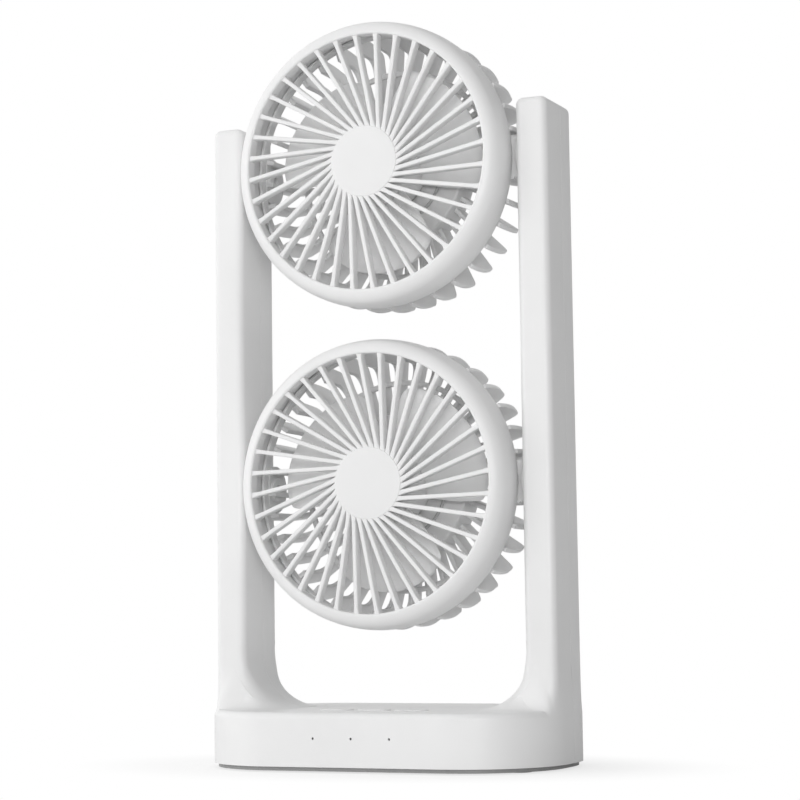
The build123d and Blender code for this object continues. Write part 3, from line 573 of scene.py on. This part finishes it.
# %% [markdown]
# ## Feet of the posts
# Each post runs down into the base in one soft sweep, level with the base's side. The whole
# housing could be drawn again for that. A skin over the plain foot is less work: rays leave
# the middle of the base's rounded corner, and along each ray a curve leads from the post down
# to the base's edge. Towards the side it ends upright on the base's wall, and towards the
# front it runs out flat on the ledge.

# %% Sizes of post and base
POST_OUTER, POST_INNER = 84.0, 69.2
POST_HALF_DEPTH, POST_EDGE = 16.9, 3.4
INNER_BEND = 25.0
BASE_HALF_WIDTH, BASE_HALF_DEPTH = 84.8, 49.1
BASE_CORNER, BASE_EDGE, BASE_TOP = 43.0, 3.0, 26.2
SEAM_Y, SEAM_GAP = 2.4, 0.2
CORNER_CENTRE = (BASE_HALF_WIDTH - BASE_CORNER, BASE_CORNER - BASE_HALF_DEPTH)
print("middle of the base's corner:", [round(v, 1) for v in CORNER_CENTRE])

# %% How far and how high a foot sweeps
FOOT_HEIGHT = 20.0
BEND_EDGE = 4.6
BEND_SHARE, LEAST_HEIGHT = 0.9, 0.05


def soft_step(value, low, high):
    """0 below low and 1 above high, with a soft start and end."""
    share = min(max((value - low) / (high - low), 0.0), 1.0)
    return share * share * (3 - 2 * share)


def reach_to_post(angle):
    """How far a ray runs from the corner's middle to the post's skin. 0 degrees is sideways."""
    ray_x, ray_y = math.cos(math.radians(angle)), math.sin(math.radians(angle))
    flat_x = POST_OUTER - POST_EDGE - CORNER_CENTRE[0]
    flat_y = POST_HALF_DEPTH - POST_EDGE + CORNER_CENTRE[1]
    to_side = (flat_x + POST_EDGE) / ray_x
    to_front = (flat_y + POST_EDGE) / max(-ray_y, 1e-6)
    if to_side * -ray_y <= flat_y:
        return to_side
    if to_front * ray_x <= flat_x:
        return to_front
    along_ray = flat_x * ray_x - flat_y * ray_y
    across = flat_x ** 2 + flat_y ** 2 - along_ray ** 2
    return along_ray + math.sqrt(max(POST_EDGE ** 2 - across, 0.0))


def foot_height(x):
    """How high the sweep climbs: less where the post's inner bend comes down to the base."""
    drop = min(max(x - POST_INNER - BEND_EDGE + INNER_BEND, 0.0), INNER_BEND)
    room = INNER_BEND - math.sqrt(max(INNER_BEND ** 2 - drop ** 2, 0.0))
    return min(FOOT_HEIGHT, BEND_SHARE * room + LEAST_HEIGHT)


print("sideways the post is", round(reach_to_post(0.0), 1), "mm from the corner's middle")

# %% One foot
POST_LIFT, EDGE_LIFT = 0.04, 0.03
LEDGE_RAYS, SIDE_RAYS = (-72.0, -34.0), (20.0, 52.0)
FIRST_RAY, RAY_COUNT, SIDE_COUNT, CURVE_STEPS = -78.0, 72, 6, 14
LEDGE_REACH = 0.35
PULL_DOWN, PULL_DOWN_AHEAD, PULL_OUT, PULL_UP = 0.40, 0.15, 0.6, 0.40
SKIN, SKIN_TOP = 0.9, 0.4


def foot_curve(start, ray, angle):
    """One closed loop on a ray: the curve from post to base, and three points under it."""
    near = reach_to_post(angle) + POST_LIFT
    share = soft_step(angle, *LEDGE_RAYS)
    slope = math.radians(90 * soft_step(-angle, *SIDE_RAYS))
    full = BASE_CORNER - BASE_EDGE + BASE_EDGE * math.cos(slope) + EDGE_LIFT
    far = near + (LEDGE_REACH + (1 - LEDGE_REACH) * share) * (full - near)
    low = BASE_TOP - BASE_EDGE + BASE_EDGE * math.sin(slope) + EDGE_LIFT
    high = BASE_TOP + foot_height(start[0] + near * ray[0])
    pull_down = (PULL_DOWN + PULL_DOWN_AHEAD * math.sin(slope)) * (high - low)
    pull_out = PULL_OUT * math.sin(slope) * (far - near)
    pull_up = PULL_UP * math.cos(slope) * (high - low)
    loop = drawn_curve([(near, high), (near, high - pull_down),
                        (far - pull_out, low + pull_up), (far, low)], CURVE_STEPS)
    loop += [(far - SKIN, low - SKIN), (near - SKIN, low - SKIN),
             (near - SKIN, high - SKIN_TOP)]
    return [(start[0] + r * ray[0], start[1] + r * ray[1], z) for r, z in loop]


def foot_loops(last_y):
    """The loops of the right post's front foot, round the corner and back to last_y."""
    loops = []
    for i in range(RAY_COUNT + 1):
        angle = FIRST_RAY - FIRST_RAY * i / RAY_COUNT
        ray = (math.cos(math.radians(angle)), math.sin(math.radians(angle)))
        loops.append(foot_curve(CORNER_CENTRE, ray, angle))
    for i in range(1, SIDE_COUNT + 1):
        y = CORNER_CENTRE[1] + (last_y - CORNER_CENTRE[1]) * i / SIDE_COUNT
        loops.append(foot_curve((CORNER_CENTRE[0], y), (1.0, 0.0), 0.0))
    return loops


print("a foot has", len(foot_loops(SEAM_Y)), "loops")

# %% The four feet
def post_foot(side, part):
    """Half a foot, up to the housing's seam, mirrored to its post."""
    front = part == "front"
    loops = foot_loops(SEAM_Y - SEAM_GAP / 2 if front else -SEAM_Y - SEAM_GAP / 2)
    turn_x, turn_y = (1 if side == "right" else -1), (1 if front else -1)
    verts, faces = lofted(loops)
    verts = [(x * turn_x * MM, y * turn_y * MM, z * MM) for x, y, z in verts]
    piece = make_piece(side + "_foot_" + part, verts, faces)
    dress(piece, "shell_white")
    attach(piece, "stand")
    return len(faces)


for side in ("left", "right"):
    print(side, "foot:", post_foot(side, "front") + post_foot(side, "rear"), "faces")

# %% [markdown]
# ## Front guards
# The front guard keeps fingers off the blades: a ring, a plain disc in the middle and 36
# straight ribs that miss the centre, so that they swirl. It is one moulding. Ring and disc are
# sections turned round the axis, and each rib is a run of rounded sections. An array modifier
# could spin the rib. Adding it 36 times to the mesh is as short, and gives one plain mesh.

# %% Ring section
RING_REAR, RING_BACK = 63.8, 6.4
RING_WIDEST, RING_WIDEST_Z = 65.9, 15.0
RING_SHOULDER, RING_SHOULDER_Z = 64.9, 24.0
RING_FRONT = 29.1
RING_RADIUS, RING_WALL = 64.7, 1.7
OPENING_RADIUS, OPENING_EDGE = 58.5, 0.9


def wall_radius(z, end_radius, end_z):
    """The ring's outside at a height, on the arc from its widest place to one end."""
    drop, reach = RING_WIDEST - end_radius, end_z - RING_WIDEST_Z
    bend = (drop * drop + reach * reach) / (2 * drop)
    return RING_WIDEST - bend + math.sqrt(bend * bend - (z - RING_WIDEST_Z) ** 2)


def lip_points(lip_end, steps):
    """The round front lip, which carries on smoothly from the wall at the shoulder."""
    drop, rise = RING_WIDEST - RING_SHOULDER, RING_SHOULDER_Z - RING_WIDEST_Z
    slope = math.asin(rise / ((drop * drop + rise * rise) / (2 * drop)))
    run_x, run_z = RING_SHOULDER - lip_end, RING_FRONT - RING_SHOULDER_Z
    bend = (run_x ** 2 + run_z ** 2) / (2 * (run_x * math.cos(slope) - run_z * math.sin(slope)))
    middle = (RING_SHOULDER - bend * math.cos(slope), RING_SHOULDER_Z - bend * math.sin(slope))
    last = math.degrees(math.asin((RING_FRONT - middle[1]) / bend))
    return arc(middle, (bend, bend), math.degrees(slope), last, steps)


def ring_profile():
    """The ring's section: barrel-shaped wall, round lip, and the opening's turned-in edge."""
    points = [(RING_REAR - 0.3, RING_BACK), (RING_REAR + 0.04, RING_BACK + 0.3)]
    for i in range(1, 7):
        z = RING_BACK + (RING_WIDEST_Z - RING_BACK) * i / 6
        points.append((wall_radius(z, RING_REAR, RING_BACK), z))
    for i in range(1, 5):
        z = RING_WIDEST_Z + (RING_SHOULDER_Z - RING_WIDEST_Z) * i / 5
        points.append((wall_radius(z, RING_SHOULDER, RING_SHOULDER_Z), z))
    lip_end = OPENING_RADIUS + OPENING_EDGE
    points += lip_points(lip_end, 12)
    points += arc((lip_end, RING_FRONT - OPENING_EDGE), (OPENING_EDGE, OPENING_EDGE), 100, 180, 6)
    turned_in = ((0.0, 3.5), (0.0, 6.0), (0.3, 6.25), (1.2, 6.5))
    points += [(OPENING_RADIUS + out, RING_FRONT - down) for out, down in turned_in]
    inner = RING_RADIUS - RING_WALL
    points += [(inner - 0.6, 21.3), (inner - 0.5, 20.9)]
    points += [(inner, RING_BACK + 0.2), (inner + 0.2, RING_BACK)]
    return points


print("ring section:", len(ring_profile()), "points")

# %% Disc and rib
DISC_RADIUS, DISC_FRONT, DISC_THICKNESS = 16.3, 28.6, 3.6
DISC_EDGE, DISC_BACK_EDGE, DISC_MIDDLE = 0.55, 0.3, 8.0
RIB_WIDTH, RIB_DEPTH, RIB_FRONT, RIB_OFFSET = 1.9, 4.5, 28.3, 7.6
RIB_STEPS, RIB_OVERLAP, RIB_END = 24, 1.2, 0.7
RIB_ROUNDING = [0.2, 0.2, 0.52, 0.52]
ROOT_FLARE, FLARE_LENGTH = 0.45, 0.7


def disc_profile():
    """The section of the plain disc in the middle."""
    back = DISC_FRONT - DISC_THICKNESS
    points = [(0.0, DISC_FRONT), (DISC_MIDDLE, DISC_FRONT),
              (DISC_RADIUS - DISC_EDGE, DISC_FRONT)]
    points += arc((DISC_RADIUS - DISC_EDGE, DISC_FRONT - DISC_EDGE), (DISC_EDGE, DISC_EDGE),
                  75, 0, 4)
    points += [(DISC_RADIUS, back + DISC_BACK_EDGE), (DISC_RADIUS - DISC_BACK_EDGE, back),
               (0.0, back)]
    return points


def rib_loops():
    """One rib as a run of rounded sections that flare where they meet the disc and the ring."""
    start = math.sqrt(DISC_RADIUS ** 2 - RIB_OFFSET ** 2) - RIB_OVERLAP
    end = math.sqrt((OPENING_RADIUS + RIB_END) ** 2 - RIB_OFFSET ** 2)
    loops = []
    for i in range(RIB_STEPS + 1):
        x = start + (end - start) * i / RIB_STEPS
        near = min(x - start - RIB_OVERLAP, end - RIB_OVERLAP - x)
        w = RIB_WIDTH / 2 + ROOT_FLARE * math.exp(-max(near, 0.0) / FLARE_LENGTH)
        section = rounded_profile([(-w, -RIB_DEPTH), (w, -RIB_DEPTH), (w, 0.0), (-w, 0.0)],
                                  RIB_ROUNDING, 4)
        loops.append([(x, -RIB_OFFSET + a, RIB_FRONT + b) for a, b in section])
    return loops


print("rib length:", round(rib_loops()[-1][0][0] - rib_loops()[0][0][0], 1), "mm")

# %% The front guards
PIVOT_HEIGHT = {"lower": 127.4, "upper": 273.75}
RIB_COUNT, RIB_PHASE = 36, 1.1
RING_SEGMENTS, DISC_SEGMENTS = 288, 144


def head_piece(build, name, node, slot, body):
    """Stands a built piece up in its head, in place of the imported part."""
    level = node.split("_")[0]
    piece = make_piece(name, build.stood_up(PIVOT_HEIGHT[level]), build.faces)
    dress(piece, slot)
    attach(piece, body)
    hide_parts(node)
    print(node + ":", len(build.faces), "faces")


def front_guard(level):
    build = Build()
    build.add(*revolved(ring_profile(), RING_SEGMENTS))
    build.add(*revolved(disc_profile(), DISC_SEGMENTS))
    build.add_around(lofted(rib_loops()), RIB_COUNT, RIB_PHASE)
    head_piece(build, level + "_guard_front", level + "_front_guard", "guard_white",
               level + "_head")


for level in PIVOT_HEIGHT:
    front_guard(level)

# %% [markdown]
# ## Rear guards
# Behind the ring, 36 L-shaped fins hold the motor's drum and let the air in. From the front
# their tips show past the ring as teeth. Each is a plate with rounded edges, so one outline
# and one thickness describe it. The two pivot bosses are discs on the sideways axis, cut level
# where the ring sits on them.

# %% Hoop, tying ring and drum
HOOP_PLAY, HOOP_WALL, HOOP_BACK, HOOP_FRONT, SEAT_GAP = 0.35, 1.4, 1.0, 4.5, 0.1
BAND_INNER, BAND_OUTER, BAND_REAR, BAND_FRONT, BAND_ROUND = 47.1, 49.5, -13.2, -10.7, 0.5
DRUM_RADIUS, DRUM_WALL, FIN_REAR = 34.0, 2.0, -22.5
DRUM_FRONT, DRUM_FLOOR, TUBE_HOLE = -6.0, -8.0, 4.65


def hoop_profile():
    """The hoop that the front guard's ring snaps over."""
    seat = RING_BACK - SEAT_GAP
    outer = RING_RADIUS - RING_WALL - HOOP_PLAY
    inner = outer - HOOP_WALL
    points = [(inner, seat - HOOP_BACK), (outer, seat - HOOP_BACK),
              (outer, seat + HOOP_FRONT), (inner, seat + HOOP_FRONT)]
    return rounded_profile(points, [0.3, 0.3, 0.5, 0.5], 3)


def band_profile():
    """The ring that ties the fins together half way in."""
    points = [(BAND_INNER, BAND_REAR), (BAND_OUTER, BAND_REAR),
              (BAND_OUTER, BAND_FRONT), (BAND_INNER, BAND_FRONT)]
    return rounded_profile(points, [BAND_ROUND] * 4, 3)


def drum_profile():
    """The cup that holds the motor, with the hole for its tube in the floor."""
    inner = DRUM_RADIUS - DRUM_WALL
    points = [(inner, FIN_REAR), (DRUM_RADIUS, FIN_REAR), (DRUM_RADIUS, DRUM_FRONT),
              (TUBE_HOLE, DRUM_FRONT), (TUBE_HOLE, DRUM_FLOOR), (inner, DRUM_FLOOR)]
    return rounded_profile(points, [0.2, 0.35, 1.2, 0.2, 0.2, 0.4], 5)


print("drum depth:", DRUM_FRONT - FIN_REAR, "mm")

# %% One fin
FIN_RADIUS, FIN_OFFSET, FIN_THICKNESS, FIN_CORNER = 65.8, 6.0, 2.2, 3.2
REAR_DEPTH, LEG_BACK, INNER_ROUND, ROUND_MIDDLE = 11.0, 7.7, 5.5, 1.6
TOP_OUT, LOW_IN, DRUM_OVERLAP = 0.5, 1.3, 1.0


def along(radius):
    """How far along a fin a radius is reached, as the fin misses the centre."""
    return math.sqrt(radius ** 2 - FIN_OFFSET ** 2)


def fin_outline():
    """One fin, in its own plane, as (along, z) points."""
    top, low = RING_BACK - SEAT_GAP, FIN_REAR + FIN_CORNER
    bend = FIN_CORNER * (1 - math.cos(math.radians(45)))
    outer_low = along(RING_RADIUS - LOW_IN)
    points = three_point((along(RING_RADIUS + TOP_OUT), top),
                         (along(FIN_RADIUS), (top + low) / 2), (outer_low, low), 8)
    points += three_point((outer_low, low), (outer_low - bend, FIN_REAR + bend),
                          (outer_low - FIN_CORNER, FIN_REAR), 7)[1:]
    inner, leg = along(DRUM_RADIUS - DRUM_OVERLAP), along(RING_RADIUS - LEG_BACK)
    rear_top = FIN_REAR + REAR_DEPTH
    points += [(inner + (outer_low - FIN_CORNER - inner) * t, FIN_REAR) for t in (0.66, 0.33)]
    points += [(inner, FIN_REAR), (inner, rear_top)]
    points += [(inner + (leg - INNER_ROUND - inner) * t, rear_top) for t in (0.33, 0.66)]
    points += three_point((leg - INNER_ROUND, rear_top),
                          (leg - ROUND_MIDDLE, rear_top + ROUND_MIDDLE),
                          (leg, rear_top + INNER_ROUND), 6)
    points += [(leg + 0.25, (top + rear_top + INNER_ROUND) / 2), (leg + 0.5, top)]
    return points


print("fin outline:", len(fin_outline()), "points,", round(abs(area_of(fin_outline()))), "mm2")

# %% Pivot bosses
BOSS_RADIUS, BOSS_FLAT, PIVOT_HOLE, BOSS_POINTS = 11.0, 0.15, 4.53, 120
BOSS_SECTIONS = ((60.5, BOSS_RADIUS), (61.5, BOSS_RADIUS), (64.0, BOSS_RADIUS),
                 (66.3, BOSS_RADIUS), (66.65, BOSS_RADIUS - 0.15), (66.8, BOSS_RADIUS - 0.5),
                 (66.8, 4.6), (66.3, PIVOT_HOLE), (60.5, PIVOT_HOLE))


def pivot_boss():
    """The right boss: loops from its inner end out, and back in through its hole."""
    flat = RING_BACK - BOSS_FLAT
    loops = []
    for x, radius in BOSS_SECTIONS:
        angles = [2 * math.pi * k / BOSS_POINTS for k in range(BOSS_POINTS)]
        loops.append([(x, radius * math.cos(a), min(radius * math.sin(a), flat)) for a in angles])
    verts, faces = lofted(loops, closed_ends=False)
    last = len(verts) - BOSS_POINTS
    for k in range(BOSS_POINTS):
        m = (k + 1) % BOSS_POINTS
        faces.append((k, last + k, last + m, m))
    return verts, faces


print("boss:", len(pivot_boss()[1]), "faces")

# %% The rear guards
FIN_COUNT, FIN_FIRST_ANGLE, FIN_EDGE = 36, 1.5, 0.5
HOOP_SEGMENTS, BAND_SEGMENTS, DRUM_SEGMENTS = 288, 240, 160


def rear_guard(level):
    build = Build()
    build.add(*revolved(hoop_profile(), HOOP_SEGMENTS))
    build.add(*revolved(band_profile(), BAND_SEGMENTS))
    build.add(*revolved(drum_profile(), DRUM_SEGMENTS))
    fin = round_plate(fin_outline(), FIN_THICKNESS, FIN_EDGE,
                      lambda u, v, across: (u, FIN_OFFSET + across, v))
    lean = math.degrees(math.asin(FIN_OFFSET / FIN_RADIUS))
    build.add_around(fin, FIN_COUNT, FIN_FIRST_ANGLE - lean)
    verts, faces = pivot_boss()
    build.add(verts, faces)
    build.add([(-x, y, z) for x, y, z in verts], faces)
    head_piece(build, level + "_guard_rear", level + "_rear_guard", "guard_white",
               level + "_head")


for level in PIVOT_HEIGHT:
    rear_guard(level)

# %% [markdown]
# ## Impellers
# Three wide twisted blades stand on a hub cup that hides the motor. A blade that is a bent
# plate would look cut from sheet. A moulded one thins out towards its front and rear edges and
# its outer corners are round. So a blade is two grids of points, one for each side, that come
# close together at the edges. Each level turns the blades to where the photo shows them.

# %% One blade
BLADE_REAR, BLADE_HEIGHT = -1.2, 16.8
HUB_RADIUS, IMPELLER_RADIUS, HUB_OVERLAP = 17.4, 48.8, 0.6
ROOT_SWEEP, TIP_SWEEP = 100.0, 82.0
ROOT_HALF, TIP_GAIN = 1.7, 1.6
CORNER_CUT, CORNER_POWER = 5.0, 4
THINNEST, THIN_POWER = 0.18, 10
RIM_FROM, RIM_SHARE = 0.97, 0.7
TWIST_STEPS, SPAN_STEPS = 40, 14


def blade_grid():
    """The two sides of one blade as grids of points, over its twist and its radius."""
    root = HUB_RADIUS - HUB_OVERLAP
    sides = []
    for side in (1, -1):
        grid = []
        for i in range(TWIST_STEPS + 1):
            share = i / TWIST_STEPS
            turn = share - 0.5
            edge = abs(2 * turn)
            taper = max(THINNEST, math.sqrt(max(0.0, 1 - edge ** THIN_POWER)))
            tip = IMPELLER_RADIUS - CORNER_CUT * edge ** CORNER_POWER
            row = []
            for j in range(SPAN_STEPS + 1):
                t = j / SPAN_STEPS
                r = root + (tip - root) * t
                angle = (ROOT_SWEEP + (TIP_SWEEP - ROOT_SWEEP) * t) * turn
                half = (ROOT_HALF + TIP_GAIN * t) * taper * (1 if t < RIM_FROM else RIM_SHARE)
                a = math.radians(angle) + side * half / r
                row.append((r * math.cos(a), r * math.sin(a), BLADE_REAR + BLADE_HEIGHT * share))
            grid.append(row)
        sides.append(grid)
    return sides


def blade_mesh():
    """The two sides and the four narrow edges that join them."""
    front, back = blade_grid()
    rows, columns = len(front), len(front[0])
    verts = [p for row in front for p in row] + [p for row in back for p in row]
    behind = rows * columns
    faces = []
    for i in range(rows - 1):
        for j in range(columns - 1):
            a = i * columns + j
            b, c, d = a + 1, a + columns + 1, a + columns
            faces += [(a, b, c, d), (behind + d, behind + c, behind + b, behind + a)]
        tip, next_tip = (i + 1) * columns - 1, (i + 2) * columns - 1
        root, next_root = i * columns, (i + 1) * columns
        faces += [(tip, behind + tip, behind + next_tip, next_tip),
                  (next_root, behind + next_root, behind + root, root)]
    for j in range(columns - 1):
        low, high = j, (rows - 1) * columns + j
        faces += [(low + 1, low, behind + low, behind + low + 1),
                  (high, high + 1, behind + high + 1, behind + high)]
    return verts, faces


print("blade:", len(blade_mesh()[1]), "faces")

# %% The impellers
HUB_FRONT, HUB_REAR, HUB_INSIDE, HUB_CEILING = 20.0, -3.0, 15.37, 15.1
SHAFT_HOLE, HUB_SEGMENTS, BLADE_COUNT = 1.51, 144, 3
IMPELLER_PHASE = {"lower": 31.0, "upper": 27.0}


def hub_profile():
    """The cup over the motor, with its rounded front edge."""
    points = [(SHAFT_HOLE, HUB_FRONT), (HUB_RADIUS, HUB_FRONT), (HUB_RADIUS, HUB_REAR),
              (HUB_INSIDE, HUB_REAR), (HUB_INSIDE, HUB_CEILING), (SHAFT_HOLE, HUB_CEILING)]
    return rounded_profile(points, [0.3, 3.0, 0.35, 0.35, 0.3, 0.0], 8)


def impeller(level):
    build = Build()
    build.add(*revolved(hub_profile(), HUB_SEGMENTS))
    build.add_around(blade_mesh(), BLADE_COUNT, IMPELLER_PHASE[level])
    head_piece(build, level + "_fan_blades", level + "_impeller", "blade_white",
               level + "_rotor")


for level in PIVOT_HEIGHT:
    impeller(level)

# %% [markdown]
# ## Floor
# The picture has a pure white ground. A white floor under these lamps would render as pale
# grey, and stronger lamps would burn out the white fan. So the floor glows white towards the
# camera only, and for every other ray it is a plain pale surface. Close to the fan the glow is
# held back, so that the shadow stays.

# %% The floor's material
FLOOR_GREY = 0.86
SHADOW_NEAR, SHADOW_FAR = 0.07, 0.17
SHADOW_SQUASH = (1.0, 1.6, 1.0)
GLOW_NEAR, GLOW_FAR = 0.7, 1.0


def floor_material():
    material = bpy.data.materials.new("floor_white")
    material.use_nodes = True
    tree = material.node_tree
    tree.nodes.clear()
    new, link = tree.nodes.new, tree.links.new
    out, diffuse = new("ShaderNodeOutputMaterial"), new("ShaderNodeBsdfDiffuse")
    glow, mixed = new("ShaderNodeEmission"), new("ShaderNodeMixShader")
    diffuse.inputs["Color"].default_value = grey(FLOOR_GREY)
    coords, oval = new("ShaderNodeTexCoord"), new("ShaderNodeVectorMath")
    length = new("ShaderNodeVectorMath")
    oval.operation, length.operation = "MULTIPLY", "LENGTH"
    oval.inputs[1].default_value = SHADOW_SQUASH
    link(coords.outputs["Object"], oval.inputs[0])
    link(oval.outputs["Vector"], length.inputs[0])
    far = new("ShaderNodeMapRange")
    far.interpolation_type = "SMOOTHSTEP"
    for key, value in (("From Min", SHADOW_NEAR), ("From Max", SHADOW_FAR),
                       ("To Min", GLOW_NEAR), ("To Max", GLOW_FAR)):
        far.inputs[key].default_value = value
    link(length.outputs["Value"], far.inputs["Value"])
    rays, seen = new("ShaderNodeLightPath"), new("ShaderNodeMath")
    seen.operation = "MULTIPLY"
    link(rays.outputs["Is Camera Ray"], seen.inputs[0])
    link(far.outputs["Result"], seen.inputs[1])
    link(seen.outputs[0], mixed.inputs["Fac"])
    link(diffuse.outputs[0], mixed.inputs[1])
    link(glow.outputs[0], mixed.inputs[2])
    link(mixed.outputs[0], out.inputs["Surface"])
    return material


print("the shadow is kept within", SHADOW_FAR, "m")

# %% The floor
FLOOR_HALF = 6
corners = [(x * FLOOR_HALF, y * FLOOR_HALF, 0)
           for x, y in ((-1, -1), (1, -1), (1, 1), (-1, 1))]
floor_mesh = bpy.data.meshes.new("floor")
floor_mesh.from_pydata(corners, [], [(0, 1, 2, 3)])
floor = bpy.data.objects.new("floor", floor_mesh)
bpy.context.scene.collection.objects.link(floor)
floor.data.materials.append(floor_material())
print("floor:", 2 * FLOOR_HALF, "m wide")

# %% [markdown]
# ## Light
# White things are photographed in a tent of white cloth, which lights them evenly with a
# little more from one side. The world does that here: its light grows towards the left. Behind
# the fan the camera sees plain white in its place. Two round lamps, one behind the camera and
# one at the left, reach in between the ribs, where the world's light hardly gets.

# %% Lamps
LIGHT_TARGET = (0.0, 0.0, 0.16)


def area_light(name, place, size, power):
    light = bpy.data.lights.new(name, "AREA")
    light.shape = "DISK"
    light.size = size
    light.energy = power
    lamp = bpy.data.objects.new(name, light)
    bpy.context.scene.collection.objects.link(lamp)
    lamp.location = place
    look = Vector(LIGHT_TARGET) - Vector(place)
    lamp.rotation_euler = look.to_track_quat("-Z", "Y").to_euler()


area_light("front", (0.75, -1.65, 0.35), size=0.5, power=9.5)
area_light("left", (-1.4, -1.0, 0.45), size=0.7, power=3.5)

# %% The world's light
TENT_LEVEL = 0.70
TENT_TOWARDS = (-0.62, -0.01, -0.05)


def world_light():
    """White behind the object. Its fill is level, plus more from where TENT_TOWARDS points."""
    world = bpy.data.worlds.new("studio")
    bpy.context.scene.world = world
    world.use_nodes = True
    tree = world.node_tree
    tree.nodes.clear()
    new, link = tree.nodes.new, tree.links.new
    out, mixed = new("ShaderNodeOutputWorld"), new("ShaderNodeMixShader")
    fill, white = new("ShaderNodeBackground"), new("ShaderNodeBackground")
    fill.inputs["Color"].default_value = white.inputs["Color"].default_value = grey(1)
    coords, side = new("ShaderNodeTexCoord"), new("ShaderNodeVectorMath")
    side.operation = "DOT_PRODUCT"
    side.inputs[1].default_value = TENT_TOWARDS
    strength = new("ShaderNodeMath")
    strength.operation = "ADD"
    strength.inputs[1].default_value = TENT_LEVEL
    link(coords.outputs["Generated"], side.inputs[0])
    link(side.outputs["Value"], strength.inputs[0])
    link(strength.outputs[0], fill.inputs["Strength"])
    rays, either = new("ShaderNodeLightPath"), new("ShaderNodeMath")
    either.operation = "MAXIMUM"
    link(rays.outputs["Is Camera Ray"], either.inputs[0])
    link(rays.outputs["Is Transmission Ray"], either.inputs[1])
    link(either.outputs[0], mixed.inputs["Fac"])
    link(fill.outputs[0], mixed.inputs[1])
    link(white.outputs[0], mixed.inputs[2])
    link(mixed.outputs[0], out.inputs["Surface"])


world_light()
print("fill from", round(TENT_LEVEL - Vector(TENT_TOWARDS).length, 2),
      "to", round(TENT_LEVEL + Vector(TENT_TOWARDS).length, 2))

# %% [markdown]
# ## Camera
# The photograph was taken from the right and slightly below, from about a metre away. One can
# place a camera by eye. This one was fitted: points on the posts, the base and the heads had
# to fall where the picture shows them, which also gave the lens.

# %% The camera
YAW, PITCH, ROLL = math.radians(24.048), math.radians(5.184), math.radians(-0.793)
CAMERA_PLACE = (0.4289, -0.9523, 0.0721)
SENSOR_WIDTH, FOCAL_PIXELS, PICTURE_PIXELS = 36.0, 2275.0, 800.0


def make_camera():
    forward = Vector((-math.sin(YAW) * math.cos(PITCH), math.cos(YAW) * math.cos(PITCH),
                      math.sin(PITCH)))
    level_right = Vector((math.cos(YAW), math.sin(YAW), 0.0))
    level_up = level_right.cross(forward)
    right = math.cos(ROLL) * level_right + math.sin(ROLL) * level_up
    up = -math.sin(ROLL) * level_right + math.cos(ROLL) * level_up
    data = bpy.data.cameras.new("camera")
    data.sensor_width = SENSOR_WIDTH
    data.lens = SENSOR_WIDTH * FOCAL_PIXELS / PICTURE_PIXELS
    camera = bpy.data.objects.new("camera", data)
    bpy.context.scene.collection.objects.link(camera)
    turn = Matrix((right, up, -forward)).transposed().to_4x4()
    camera.matrix_world = Matrix.Translation(CAMERA_PLACE) @ turn
    bpy.context.scene.camera = camera
    return camera


camera = make_camera()
bpy.context.scene.view_settings.view_transform = "Standard"
print("camera lens:", round(camera.data.lens, 1), "mm")

# %% [markdown]
# ## The end
# The dressed model has to stay inside the imported one.
